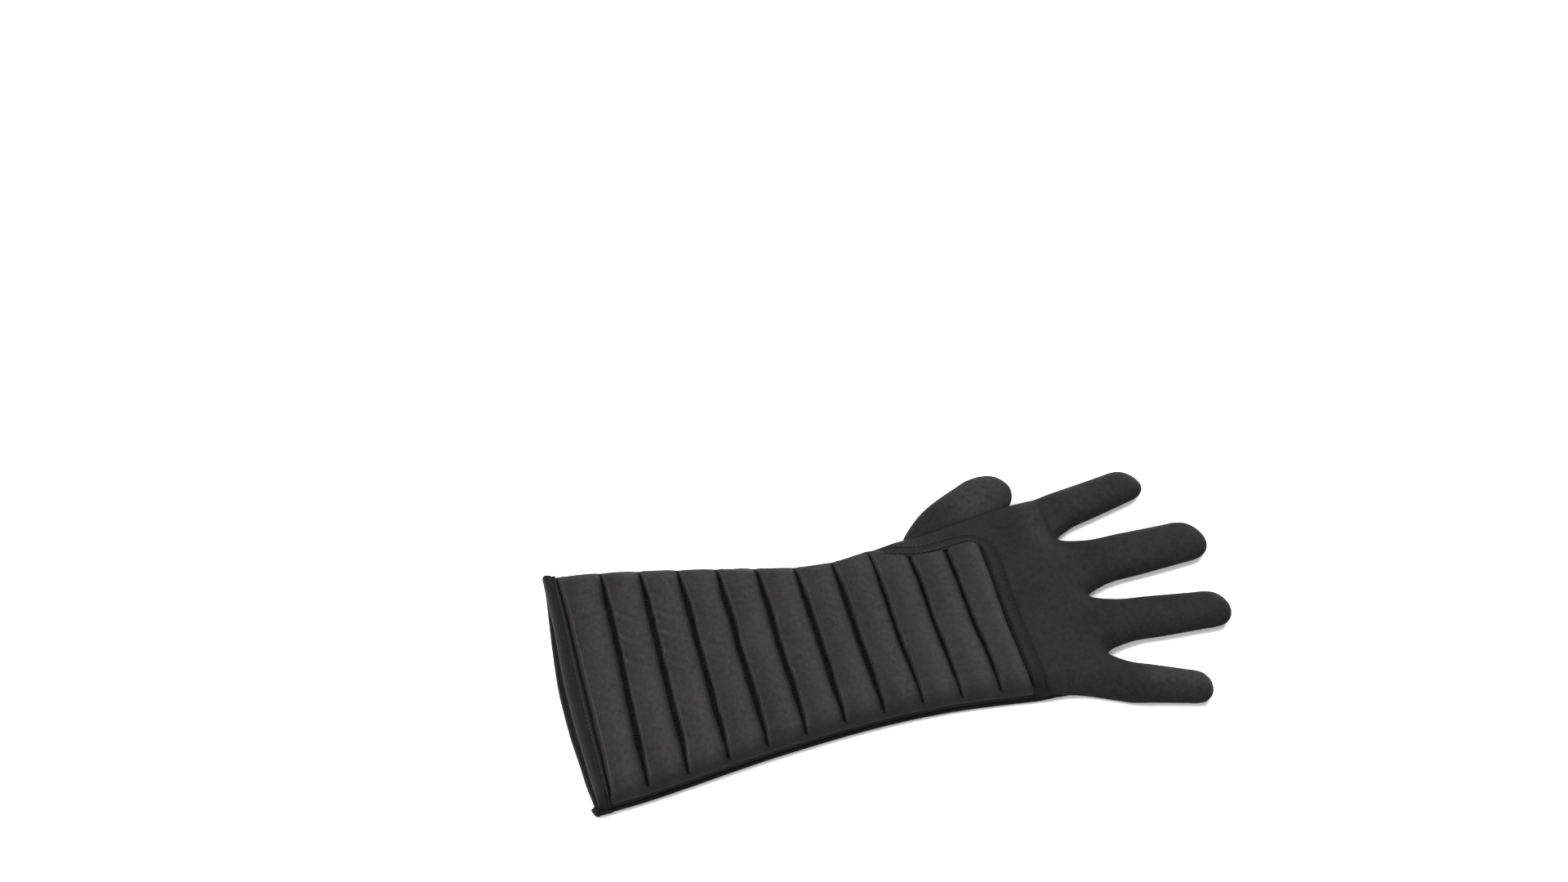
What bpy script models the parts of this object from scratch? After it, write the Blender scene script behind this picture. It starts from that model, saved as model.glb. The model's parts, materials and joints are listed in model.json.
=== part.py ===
"""Heat resistant gauntlet glove for the right hand, lying palm down with its quilted back up.

World frame, in metres: +X towards the fingertips, +Y towards the thumb, +Z out of the back of the
hand. The origin lies under the middle of the glove, on the surface that the glove lies on.

The plan below is drawn from the middle of the glove's mouth, and place() shifts it to the origin.
Every panel is a thin shell: the palm side is a tray open upwards, the back is a tray open downwards,
and the lining is a sleeve between them, so a hand can go in through the mouth as far as each
fingertip. The thumb lies folded under the palm, which drapes over it.
"""

import math

import bmesh
import bpy
import numpy as np
from mathutils import Matrix, Vector

MM = 0.001

# Plan: the glove's two long edges as (distance from the mouth, thumb side, little-finger side).
EDGES = [
    (-5 * MM, 73.0 * MM, -82.5 * MM),
    (4 * MM, 73.0 * MM, -82.0 * MM),
    (30 * MM, 69.5 * MM, -78.0 * MM),
    (60 * MM, 64.5 * MM, -73.5 * MM),
    (100 * MM, 56.5 * MM, -67.0 * MM),
    (130 * MM, 51.0 * MM, -63.5 * MM),
    (159 * MM, 48.5 * MM, -61.0 * MM),
    (200 * MM, 50.0 * MM, -60.5 * MM),
    (240 * MM, 53.0 * MM, -64.0 * MM),
    (268 * MM, 58.5 * MM, -70.0 * MM),
]
PLAN_CENTRE = (183.5 * MM, 4.9 * MM)

# Levels of the stacked layers, counted up from the table.
PALM_RIM = 4.6 * MM
BACK_RIM = 5.0 * MM
BACK_TOP = 9.6 * MM
WALL = 1.2 * MM
LINING_LOW = 1.6 * MM
LINING_HIGH = 8.0 * MM
LINING_WALL = 0.5 * MM
TRIM_LOW = 10.0 * MM
BINDING_TOP = 11.6 * MM
RIB_TOP = 13.4 * MM
GAP = 0.4 * MM
ROUNDING = 1.8 * MM

# Side seams: a piped bead outside the panels.
SEAM_RADIUS = 1.2 * MM
PANEL_INSET = 2.9 * MM
LINING_INSET = WALL + GAP

# Mouth: it runs slantwise, a little further from the fingers on the thumb side.
MOUTH_THUMB_X = -4.5 * MM
MOUTH_LITTLE_X = 3.5 * MM
HEM_WIDTH = 8.6 * MM
HEM_WALL = 2.0 * MM

# Where the long edges end and the finger roots begin.
HAND_END_X = 268 * MM

# Wrist hinge: the gauntlet and the hand end this far each side of it.
WRIST_X = 159 * MM
WRIST_Z = 8.5 * MM
WRIST_CLEARANCE = 4.2 * MM

# Quilting: ten stitched grooves between eleven padded ribs.
GROOVE_COUNT = 10
FIRST_GROOVE = (28.0 * MM, 30.8 * MM)
GROOVE_PITCH = 21.3 * MM
GROOVE_HALF = 1.5 * MM
RIB_INSET = 4.6 * MM
LAST_RIB_END = 238.8 * MM
RIBS_ON_GAUNTLET = 7

# Binding tape along the quilted panel's hand end: its centre line, from the thumb side round a
# corner to the little-finger side.
TAPE_WIDTH = 8.0 * MM
TAPE_RUN = (183 * MM, 230 * MM)
TAPE_THUMB_Y = (44.0 * MM, 40.0 * MM)
TAPE_CORNER_RADIUS = 12 * MM
TAPE_X = (243.8 * MM, 243.8 * MM)
TAPE_END_Y = -60.5 * MM

# Fingers: root centre, direction in degrees from +X, length, root width and tip width.
FINGERS = {
    "index": ((289 * MM, 54.0 * MM), 14.1, 63.5 * MM, 28 * MM, 23 * MM),
    "middle": ((295 * MM, 15.5 * MM), 3.7, 76.7 * MM, 31 * MM, 26 * MM),
    "ring": ((295 * MM, -25.5 * MM), -3.7, 70.0 * MM, 29 * MM, 23 * MM),
    "little": ((287 * MM, -63.5 * MM), -18.2, 49.5 * MM, 25 * MM, 20 * MM),
}
KNUCKLE_SHARE = 0.47
FINGER_CLEARANCE = 5.1 * MM
FINGER_AXIS_Z = 4.8 * MM
TIP_SEGMENTS = 8

# Thumb: it lies on the table under the palm, in thinner layers.
THUMB = ((219 * MM, 46.0 * MM), 43.0, 66 * MM, 40 * MM, 29 * MM)
THUMB_KNUCKLE_SHARE = 0.53
THUMB_TOP = 7.6 * MM
THUMB_PALM_RIM = 3.6 * MM
THUMB_BACK_RIM = 4.0 * MM
THUMB_WALL = 1.0 * MM
THUMB_LINING = (1.3 * MM, 6.3 * MM)
THUMB_LINING_WALL = 0.35 * MM
THUMB_AXIS_Z = 3.8 * MM
THUMB_CLEARANCE = 4.3 * MM
GUSSET_DEPTH = 15 * MM
GUSSET_HALF_WIDTH = 15.5 * MM
THUMB_HOLE = (-11 * MM, -4 * MM, 7 * MM, 10 * MM)

# Drape: the hand rises over the thumb and comes down again before the finger roots.
DRAPE_LIFT = 8.1 * MM
DRAPE_STEPS = 6
SNAP = 0.05 * MM

COLLECTION = "heat_resistant_glove"
COLOURS = {
    "quilt_fabric": ((0.036, 0.035, 0.034), 0.62),
    "smooth_fabric": ((0.026, 0.027, 0.027), 0.66),
    "binding_tape": ((0.018, 0.018, 0.018), 0.60),
    "lining_fabric": ((0.72, 0.68, 0.58), 0.90),
    "seam_piping": ((0.015, 0.015, 0.015), 0.55),
}


def clear_scene():
    for obj in list(bpy.data.objects):
        bpy.data.objects.remove(obj)


def material(name):
    found = bpy.data.materials.get(name)
    if found:
        return found
    colour, roughness = COLOURS[name]
    made = bpy.data.materials.new(name)
    made.use_nodes = True
    shader = made.node_tree.nodes["Principled BSDF"]
    shader.inputs["Base Color"].default_value = (*colour, 1.0)
    shader.inputs["Roughness"].default_value = roughness
    shader.inputs["Metallic"].default_value = 0.0
    return made


def collection(name):
    made = bpy.data.collections.new(name)
    bpy.context.scene.collection.children.link(made)
    return made


def smooth(share):
    return share * share * (3 - 2 * share)


def lines(start, end):
    return [start + (end - start) * i / DRAPE_STEPS for i in range(DRAPE_STEPS + 1)]


RISE_X = lines(125 * MM, 195 * MM)
FALL_X = lines(256 * MM, 288 * MM)
RISE_Y = lines(-18 * MM, 25 * MM)


def ramp(value, at):
    """From 0 at the first line to 1 at the last, along a smooth step that is straight between lines."""
    steps = [smooth(i / DRAPE_STEPS) for i in range(DRAPE_STEPS + 1)]
    return float(np.interp(value, at, steps))


def lift(x, y):
    """How far the draped layers stand above their own levels, at a point of the plan."""
    return DRAPE_LIFT * ramp(x, RISE_X) * (1 - ramp(x, FALL_X)) * ramp(y, RISE_Y)


def drape(bm):
    """Adds edges along the drape's lines, so that the flat faces can follow it, and lifts the points."""
    for axis, at in ((0, RISE_X + FALL_X), (1, RISE_Y)):
        low = min(v.co[axis] for v in bm.verts)
        high = max(v.co[axis] for v in bm.verts)
        normal = Vector((1, 0, 0)) if axis == 0 else Vector((0, 1, 0))
        for value in at:
            if low < value < high:
                everything = bm.verts[:] + bm.edges[:] + bm.faces[:]
                bmesh.ops.bisect_plane(
                    bm, geom=everything, dist=SNAP, plane_co=normal * value, plane_no=normal
                )
    for vert in bm.verts:
        vert.co.z += lift(vert.co.x, vert.co.y)


def place(bm):
    bmesh.ops.translate(bm, verts=bm.verts, vec=(-PLAN_CENTRE[0], -PLAN_CENTRE[1], 0))


def finish_mesh(bm, name, slot, parts, bevel=0.0, wall=0.0):
    """Makes the object, with its rounding and its wall thickness as modifiers."""
    place(bm)
    mesh = bpy.data.meshes.new(name)
    bm.to_mesh(mesh)
    bm.free()
    mesh.materials.append(material(slot))
    obj = bpy.data.objects.new(name, mesh)
    parts.objects.link(obj)
    if bevel:
        rounding = obj.modifiers.new("rounding", "BEVEL")
        rounding.width = bevel
        rounding.segments = 2
        rounding.limit_method = "ANGLE"
        rounding.angle_limit = math.radians(50)
    if wall:
        thickness = obj.modifiers.new("wall", "SOLIDIFY")
        thickness.thickness = wall
        thickness.offset = -1
        thickness.use_even_offset = True
    return obj


def face_outwards(bm, base, up):
    """Turns an open surface so that its base faces away from its walls."""
    bmesh.ops.recalc_face_normals(bm, faces=bm.faces)
    if (base.normal.z > 0) != up:
        bmesh.ops.reverse_faces(bm, faces=bm.faces)


def outline_face(bm, outline, z):
    verts = [bm.verts.new((x, y, z)) for x, y in outline]
    return bm.faces.new(verts)


def tray(name, slot, parts, outline, open_edges, z_base, z_rim, wall, draped=True):
    """A flat panel with walls along its outline, apart from the edges it is open at."""
    bm = bmesh.new()
    base = outline_face(bm, outline, z_base)
    bm.edges.ensure_lookup_table()
    walled = [loop.edge for i, loop in enumerate(base.loops) if i not in open_edges]
    grown = bmesh.ops.extrude_edge_only(bm, edges=walled)["geom"]
    for item in grown:
        if isinstance(item, bmesh.types.BMVert):
            item.co.z = z_rim
    bm.normal_update()
    face_outwards(bm, base, up=z_base > z_rim)
    if draped:
        drape(bm)
    return finish_mesh(bm, name, slot, parts, bevel=ROUNDING, wall=wall)


def sleeve(name, slot, parts, outline, open_edges, z_low, z_high, wall, draped=True):
    """A closed prism without the sides it is open at."""
    bm = bmesh.new()
    base = outline_face(bm, outline, z_low)
    count = len(outline)
    gates = []
    for i in open_edges:
        a, b = Vector(outline[i]), Vector(outline[(i + 1) % count])
        gates.append((a + b) / 2)
    extruded = bmesh.ops.extrude_face_region(bm, geom=[base])["geom"]
    top = [item for item in extruded if isinstance(item, bmesh.types.BMVert)]
    bmesh.ops.translate(bm, verts=top, vec=(0, 0, z_high - z_low))
    bmesh.ops.recalc_face_normals(bm, faces=bm.faces)
    ends = []
    for face in bm.faces:
        middle = face.calc_center_median().to_2d()
        is_side = abs(face.normal.z) < 0.5
        if is_side and any((middle - gate).length < 0.01 * MM for gate in gates):
            ends.append(face)
    bmesh.ops.delete(bm, geom=ends, context="FACES_ONLY")
    if draped:
        drape(bm)
    return finish_mesh(bm, name, slot, parts, wall=wall)


def slab(name, slot, parts, outline, z_low, z_high, bevel):
    """A closed, draped plate with rounded edges."""
    bm = bmesh.new()
    base = outline_face(bm, outline, z_low)
    extruded = bmesh.ops.extrude_face_region(bm, geom=[base])["geom"]
    top = [item for item in extruded if isinstance(item, bmesh.types.BMVert)]
    bmesh.ops.translate(bm, verts=top, vec=(0, 0, z_high - z_low))
    bmesh.ops.recalc_face_normals(bm, faces=bm.faces)
    drape(bm)
    return finish_mesh(bm, name, slot, parts, bevel=bevel)


def bead(name, parts, points):
    """A piped seam: a round cord through points given as (x, y, z)."""
    curve = bpy.data.curves.new(name, "CURVE")
    curve.dimensions = "3D"
    curve.bevel_depth = SEAM_RADIUS
    curve.bevel_resolution = 1
    curve.use_fill_caps = True
    spline = curve.splines.new("POLY")
    spline.points.add(len(points) - 1)
    for point, (x, y, z) in zip(spline.points, points):
        point.co = (x - PLAN_CENTRE[0], y - PLAN_CENTRE[1], z, 1)
    curve.materials.append(material("seam_piping"))
    obj = bpy.data.objects.new(name, curve)
    parts.objects.link(obj)
    return obj


def edge_y(x, thumb_side):
    column = 1 if thumb_side else 2
    return float(np.interp(x, [row[0] for row in EDGES], [row[column] for row in EDGES]))


def edge_points(x_from, x_to, thumb_side, inset):
    """Points along one long edge, moved into the glove by inset."""
    xs = [x_from] + [row[0] for row in EDGES if x_from + MM < row[0] < x_to - MM] + [x_to]
    sign = -1 if thumb_side else 1
    return [(x, edge_y(x, thumb_side) + sign * inset) for x in xs]


def inset_outline(outline, open_edges, distance):
    """Moves each edge of an outline inwards, apart from those it is open at."""
    count = len(outline)
    points = [Vector(point) for point in outline]
    moved = []
    for i in range(count):
        before, here, after = points[i - 1], points[i], points[(i + 1) % count]
        along = [(here - before).normalized(), (after - here).normalized()]
        shifts = [0 if (i - 1) % count in open_edges else distance, 0 if i in open_edges else distance]
        inward = [Vector((-way.y, way.x)) for way in along]
        first, second = (here + way * shift for way, shift in zip(inward, shifts))
        cross = along[0].cross(along[1])
        if abs(cross) > 0.5:
            share = (second - first).cross(along[1]) / cross
            moved.append(tuple(first + along[0] * share))
        elif shifts[0] == shifts[1]:
            bisector = (inward[0] + inward[1]).normalized()
            moved.append(tuple(here + bisector * distance / bisector.dot(inward[0])))
        else:
            moved.append(tuple(first if shifts[0] else second))
    return moved


def band(little, thumb):
    """Outline between two lines across the glove, each end given as (start, end) on that side.
    Returns it with the numbers of its two open edges: the far one and the near one."""
    low = edge_points(*little, False, PANEL_INSET)
    high = edge_points(*thumb, True, PANEL_INSET)
    outline = low + high[::-1]
    return outline, {len(low) - 1, len(outline) - 1}


def local(frame, s, w):
    """A point s along a finger from its root and w to its left, in the plan."""
    (x, y), degrees = frame[0], frame[1]
    c, n = math.cos(math.radians(degrees)), math.sin(math.radians(degrees))
    return (x + s * c - w * n, y + s * n + w * c)


def finger_outline(frame, start, end):
    """Outline of a finger between two distances from its root; with no end it runs round the tip.
    Returns it with the numbers of its open edges."""
    length, root, tip = frame[2:]
    tip_radius = tip / 2
    straight = length - tip_radius

    def half(s):
        return (root + (tip - root) * min(s / straight, 1)) / 2

    if end is not None:
        corners = [(start, -half(start)), (end, -half(end)), (end, half(end)), (start, half(start))]
        return [local(frame, s, w) for s, w in corners], {1, 3}
    points = [(start, -half(start))]
    for i in range(TIP_SEGMENTS + 1):
        turn = math.pi * (i / TIP_SEGMENTS - 0.5)
        points.append((straight + tip_radius * math.cos(turn), tip_radius * math.sin(turn)))
    points.append((start, half(start)))
    return [local(frame, s, w) for s, w in points], {len(points) - 1}


def axis_empty(name, x, y, z, parts):
    empty = bpy.data.objects.new(name, None)
    empty.location = (x - PLAN_CENTRE[0], y - PLAN_CENTRE[1], z)
    empty.empty_display_size = 0.01
    parts.objects.link(empty)
    return empty


def hang(objects, empty):
    """Parents the pieces of a moving body to the empty on its axis, without moving them."""
    inverse = Matrix.Translation(empty.location).inverted()
    for obj in objects:
        obj.parent = empty
        obj.matrix_parent_inverse = inverse


def build_finger(name, frame, parts):
    """Two hinged segments, each with a palm panel, a back panel and a lining."""
    knuckle = frame[2] * KNUCKLE_SHARE
    spans = {"base": (0.0, knuckle - FINGER_CLEARANCE), "tip": (knuckle, None)}
    for segment, (start, end) in spans.items():
        outline, gates = finger_outline(frame, start, end)
        inner = inset_outline(outline, gates, LINING_INSET)
        label = f"{name}_{segment}"
        made = [
            tray(
                f"{label}_palm", "smooth_fabric", parts, outline, gates,
                0, PALM_RIM, WALL, draped=False,
            ),
            tray(
                f"{label}_back", "smooth_fabric", parts, outline, gates,
                BACK_TOP, BACK_RIM, WALL, draped=False,
            ),
            sleeve(
                f"{label}_lining", "lining_fabric", parts, inner, gates,
                LINING_LOW, LINING_HIGH, LINING_WALL, draped=False,
            ),
        ]
        x, y = local(frame, start, 0)
        hang(made, axis_empty(f"{label}_axis", x, y, FINGER_AXIS_Z, parts))


def build_thumb(parts):
    knuckle = THUMB[2] * THUMB_KNUCKLE_SHARE
    spans = {"base": (0.0, knuckle - THUMB_CLEARANCE), "tip": (knuckle, None)}
    for segment, (start, end) in spans.items():
        outline, gates = finger_outline(THUMB, start, end)
        inner = inset_outline(outline, gates, THUMB_WALL + GAP)
        label = f"thumb_{segment}"
        made = [
            tray(
                f"{label}_palm", "smooth_fabric", parts, outline, gates,
                0, THUMB_PALM_RIM, THUMB_WALL, draped=False,
            ),
            tray(
                f"{label}_back", "smooth_fabric", parts, outline, gates,
                THUMB_TOP, THUMB_BACK_RIM, THUMB_WALL, draped=False,
            ),
            sleeve(
                f"{label}_lining", "lining_fabric", parts, inner, gates,
                *THUMB_LINING, THUMB_LINING_WALL, draped=False,
            ),
        ]
        x, y = local(THUMB, start, 0)
        hang(made, axis_empty(f"{label}_axis", x, y, THUMB_AXIS_Z, parts))


def build_thumb_gusset(parts):
    """The gathered pocket that joins the thumb to the palm, and the seam round it."""
    def arc(depth, half_width):
        turns = [math.pi * (i / TIP_SEGMENTS + 0.5) for i in range(TIP_SEGMENTS + 1)]
        return [
            local(THUMB, -THUMB_CLEARANCE + depth * math.cos(t), half_width * math.sin(t))
            for t in turns
        ]

    outline = arc(GUSSET_DEPTH, GUSSET_HALF_WIDTH)
    tray(
        "thumb_gusset", "smooth_fabric", parts, outline, {TIP_SEGMENTS},
        0, THUMB_TOP, THUMB_WALL, draped=False,
    )
    offset = SEAM_RADIUS + GAP
    ring = arc(GUSSET_DEPTH + offset, GUSSET_HALF_WIDTH + offset)
    height = THUMB_TOP - SEAM_RADIUS
    bead("thumb_seam", parts, [(x, y, height) for x, y in ring])


def thumb_hole_cutter(cutters):
    """Cuts the way from the hand into the thumb through the palm and its lining."""
    s, w, half_s, half_w = THUMB_HOLE
    top = DRAPE_LIFT + (LINING_LOW + LINING_HIGH) / 2
    bm = bmesh.new()
    bmesh.ops.create_cone(
        bm, cap_ends=True, segments=20, radius1=1.0, radius2=1.0, depth=top,
        matrix=Matrix.Translation((0, 0, top / 2)),
    )
    bmesh.ops.scale(bm, verts=bm.verts, vec=(half_s, half_w, 1))
    turn = Matrix.Rotation(math.radians(THUMB[1]), 4, "Z")
    bmesh.ops.transform(bm, verts=bm.verts, matrix=turn)
    x, y = local(THUMB, s, w)
    bmesh.ops.translate(bm, verts=bm.verts, vec=(x, y, 0))
    cutter = finish_mesh(bm, "thumb_hole_cutter", "smooth_fabric", cutters)
    cutter.hide_render = True
    cutter.display_type = "WIRE"
    return cutter


def cut(obj, cutter):
    boolean = obj.modifiers.new("thumb_hole", "BOOLEAN")
    boolean.operation = "DIFFERENCE"
    boolean.solver = "EXACT"
    boolean.object = cutter


def hand_outline():
    """Outline of the hand from the wrist to the four finger roots, with its open edges."""
    start = WRIST_X + WRIST_CLEARANCE
    low = edge_points(start, HAND_END_X, False, PANEL_INSET)
    high = edge_points(start, HAND_END_X, True, PANEL_INSET)
    outline = list(low)
    gates = set()
    for name in ("little", "ring", "middle", "index"):
        frame = FINGERS[name]
        half = frame[3] / 2
        gates.add(len(outline))
        outline.append(local(frame, -FINGER_CLEARANCE, -half))
        outline.append(local(frame, -FINGER_CLEARANCE, half))
    outline += high[::-1]
    gates.add(len(outline) - 1)
    return outline, gates


def build_hand(parts, cutters):
    outline, gates = hand_outline()
    palm = tray("hand_palm_panel", "smooth_fabric", parts, outline, gates, 0, PALM_RIM, WALL)
    tray("hand_back_panel", "smooth_fabric", parts, outline, gates, BACK_TOP, BACK_RIM, WALL)
    inner = inset_outline(outline, gates, LINING_INSET)
    lining = sleeve(
        "hand_lining", "lining_fabric", parts, inner, gates,
        LINING_LOW, LINING_HIGH, LINING_WALL,
    )
    cutter = thumb_hole_cutter(cutters)
    cut(palm, cutter)
    cut(lining, cutter)
    build_seam("hand_seam", WRIST_X + WRIST_CLEARANCE, HAND_END_X, parts)
    slab("quilt_end_binding", "binding_tape", parts, tape_outline(), TRIM_LOW, BINDING_TOP, 0.4 * MM)


def build_seam(name, x_from, x_to, parts):
    """The two piped side seams between two distances from the mouth. Returns the two objects."""
    made = []
    for label, thumb_side in (("thumb_side", True), ("little_side", False)):
        points = []
        steps = edge_points(x_from, x_to, thumb_side, SEAM_RADIUS)
        lows = [line for line in RISE_X + FALL_X if x_from < line < x_to]
        for x in sorted({x for x, _ in steps} | set(lows)):
            y = float(np.interp(x, [p[0] for p in steps], [p[1] for p in steps]))
            points.append((x, y, (PALM_RIM + BACK_RIM) / 2 + lift(x, y)))
        made.append(bead(f"{name}_{label}", parts, points))
    return made


def tape_outline():
    """The binding tape's outline, half its width each side of its centre line."""
    (x0, x1), (y0, y1) = TAPE_RUN, TAPE_THUMB_Y
    corner = Vector((TAPE_X[0] - TAPE_CORNER_RADIUS, y1 - TAPE_CORNER_RADIUS))
    centre = [Vector((x0, y0)), Vector((x0 + 15 * MM, y1)), Vector((min(x1, corner.x), y1))]
    for i in range(1, 6):
        turn = math.radians(90 - 18 * i)
        centre.append(corner + TAPE_CORNER_RADIUS * Vector((math.cos(turn), math.sin(turn))))
    centre += [Vector((TAPE_X[0], -20 * MM)), Vector((TAPE_X[1], TAPE_END_Y))]
    left, right = [], []
    for i, point in enumerate(centre):
        before, after = centre[max(i - 1, 0)], centre[min(i + 1, len(centre) - 1)]
        along = (after - before).normalized()
        side = Vector((-along.y, along.x)) * TAPE_WIDTH / 2
        left.append(tuple(point + side))
        right.append(tuple(point - side))
    return right + left[::-1]


def groove_x(number, thumb_side):
    """Where a groove meets one edge. Groove 0 is the hem's inner edge."""
    if number == 0:
        return (MOUTH_THUMB_X if thumb_side else MOUTH_LITTLE_X) + HEM_WIDTH - GROOVE_HALF + GAP
    return FIRST_GROOVE[0 if thumb_side else 1] + GROOVE_PITCH * (number - 1)


def rib_thumb_end(x):
    """How far towards the thumb a rib reaches: to the side seam, or to the binding tape."""
    free = edge_y(x, True) - RIB_INSET
    taped = float(np.interp(x, [TAPE_RUN[0], TAPE_RUN[0] + 15 * MM], TAPE_THUMB_Y))
    return free if x < TAPE_RUN[0] - 8 * MM else taped - TAPE_WIDTH / 2 - 1.5 * GAP


def rib_outline(number):
    wrist_low, wrist_high = WRIST_X - WRIST_CLEARANCE, WRIST_X + WRIST_CLEARANCE
    spans = []
    for thumb_side in (False, True):
        start = groove_x(number - 1, thumb_side) + GROOVE_HALF
        end = groove_x(number, thumb_side) - GROOVE_HALF
        if number == RIBS_ON_GAUNTLET:
            end = wrist_low
        if number == RIBS_ON_GAUNTLET + 1:
            start = wrist_high
        if number == GROOVE_COUNT + 1:
            end = LAST_RIB_END
        spans.append((start, end))
    (little_start, little_end), (thumb_start, thumb_end) = spans
    low = [(x, edge_y(x, False) + RIB_INSET) for x in (little_start, little_end)]
    high = [(thumb_end, rib_thumb_end(thumb_end)), (thumb_start, rib_thumb_end(thumb_start))]
    if number == GROOVE_COUNT + 1:
        corner = high[0][1]
        high[:1] = [(thumb_end, corner - 9 * MM), (thumb_end - 2.5 * MM, corner - 2.5 * MM),
                    (thumb_end - 8 * MM, corner)]
    return low + high


def build_ribs(parts):
    """Eleven padded ribs. Returns those on the gauntlet."""
    on_gauntlet = []
    for number in range(1, GROOVE_COUNT + 2):
        rib = slab(
            f"quilt_rib_{number:02d}", "quilt_fabric", parts, rib_outline(number),
            TRIM_LOW, RIB_TOP, 1.2 * MM,
        )
        if number <= RIBS_ON_GAUNTLET:
            on_gauntlet.append(rib)
    return on_gauntlet


def build_gauntlet(parts):
    end = WRIST_X - WRIST_CLEARANCE
    thumb_hem, little_hem = MOUTH_THUMB_X + HEM_WIDTH, MOUTH_LITTLE_X + HEM_WIDTH
    outline, gates = band((little_hem, end), (thumb_hem, end))
    inner = inset_outline(outline, gates, LINING_INSET)
    hem, hem_gates = band((MOUTH_LITTLE_X, little_hem - GAP), (MOUTH_THUMB_X, thumb_hem - GAP))
    made = [
        tray("gauntlet_palm_panel", "smooth_fabric", parts, outline, gates, 0, PALM_RIM, WALL),
        tray("gauntlet_back_panel", "quilt_fabric", parts, outline, gates, BACK_TOP, BACK_RIM, WALL),
        sleeve(
            "gauntlet_lining", "lining_fabric", parts, inner, gates,
            LINING_LOW, LINING_HIGH, LINING_WALL,
        ),
        tray("mouth_binding_palm", "binding_tape", parts, hem, hem_gates, 0, PALM_RIM, HEM_WALL),
        tray(
            "mouth_binding_back", "binding_tape", parts, hem, hem_gates,
            BINDING_TOP, BACK_RIM, HEM_WALL,
        ),
    ]
    made += build_seam("gauntlet_seam", MOUTH_LITTLE_X, end, parts)
    return made


def main():
    clear_scene()
    parts = collection(COLLECTION)
    cutters = collection("cutters")
    build_hand(parts, cutters)
    build_thumb_gusset(parts)
    gauntlet = build_gauntlet(parts) + build_ribs(parts)
    hang(gauntlet, axis_empty("gauntlet_axis", WRIST_X, 0, WRIST_Z, parts))
    for name, frame in FINGERS.items():
        build_finger(name, frame, parts)
    build_thumb(parts)


main()
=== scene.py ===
"""Looks of a quilted gauntlet glove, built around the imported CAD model.

Lengths are millimetres in the shared frame (+X to the fingertips, +Y to the thumb, +Z out of the back of
the hand) until a mesh is made, where they become metres. The plan outline, the quilting and the tape
follow the CAD nodes and joints.
"""

import json
import math

import bpy
import numpy as np
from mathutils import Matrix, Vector
from mathutils.geometry import delaunay_2d_cdt


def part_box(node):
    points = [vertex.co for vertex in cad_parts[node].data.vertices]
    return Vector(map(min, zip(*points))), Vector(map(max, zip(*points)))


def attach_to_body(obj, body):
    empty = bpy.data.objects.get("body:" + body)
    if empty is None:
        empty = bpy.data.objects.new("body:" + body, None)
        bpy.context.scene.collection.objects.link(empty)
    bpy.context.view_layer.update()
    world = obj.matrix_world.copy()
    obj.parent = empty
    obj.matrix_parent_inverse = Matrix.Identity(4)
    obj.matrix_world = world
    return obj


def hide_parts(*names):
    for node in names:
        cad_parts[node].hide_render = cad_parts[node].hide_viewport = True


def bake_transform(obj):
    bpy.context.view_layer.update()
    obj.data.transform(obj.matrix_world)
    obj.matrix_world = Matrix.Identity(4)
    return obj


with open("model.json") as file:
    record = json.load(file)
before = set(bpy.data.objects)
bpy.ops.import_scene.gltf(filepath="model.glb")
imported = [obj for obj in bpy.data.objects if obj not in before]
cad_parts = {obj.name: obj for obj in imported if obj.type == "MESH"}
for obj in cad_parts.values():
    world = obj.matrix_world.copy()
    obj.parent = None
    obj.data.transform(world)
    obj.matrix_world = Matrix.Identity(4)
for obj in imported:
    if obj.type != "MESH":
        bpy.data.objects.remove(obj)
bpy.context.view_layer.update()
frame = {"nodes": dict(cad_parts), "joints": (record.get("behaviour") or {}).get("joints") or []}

TO_M = 0.001
JOINTS = {joint["name"]: joint for joint in frame["joints"]}
RNG = np.random.default_rng(7)

# ---------------------------------------------------------------- numbers


def smoothstep(value, low, high):
    share = np.clip((value - low) / (high - low), 0, 1)
    return share * share * (3 - 2 * share)


def swell(distance, radius, power=1.8):
    """Share of the full height at a distance from the rim: an edge that is round, a little pointed."""
    left = np.clip(1 - distance / radius, 0, 1)
    return (1 - left ** power) ** (1 / power)


def hump(value, centre, width):
    """1 at the centre, falling away smoothly on both sides."""
    return np.exp(-(((value - centre) / width) ** 2))


def lattice_noise(x, y, size, seed):
    """Smooth noise from -1 to 1 whose lumps are about size across."""
    rng = np.random.default_rng(seed)
    table = rng.uniform(-1, 1, (64, 64))
    u, v = np.asarray(x) / size + 1000.37, np.asarray(y) / size + 1000.71
    i, j = np.floor(u).astype(int), np.floor(v).astype(int)
    s, t = u - i, v - j
    s, t = s * s * (3 - 2 * s), t * t * (3 - 2 * t)
    corner = lambda a, b: table[(i + a) % 64, (j + b) % 64]
    low = corner(0, 0) * (1 - s) + corner(1, 0) * s
    high = corner(0, 1) * (1 - s) + corner(1, 1) * s
    return low * (1 - t) + high * t


def layered_noise(x, y, size, seed, layers=3):
    total, weight = 0.0, 1.0
    for layer in range(layers):
        total = total + weight * lattice_noise(x, y, size / 2 ** layer, seed + layer)
        weight *= 0.5
    return total


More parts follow.
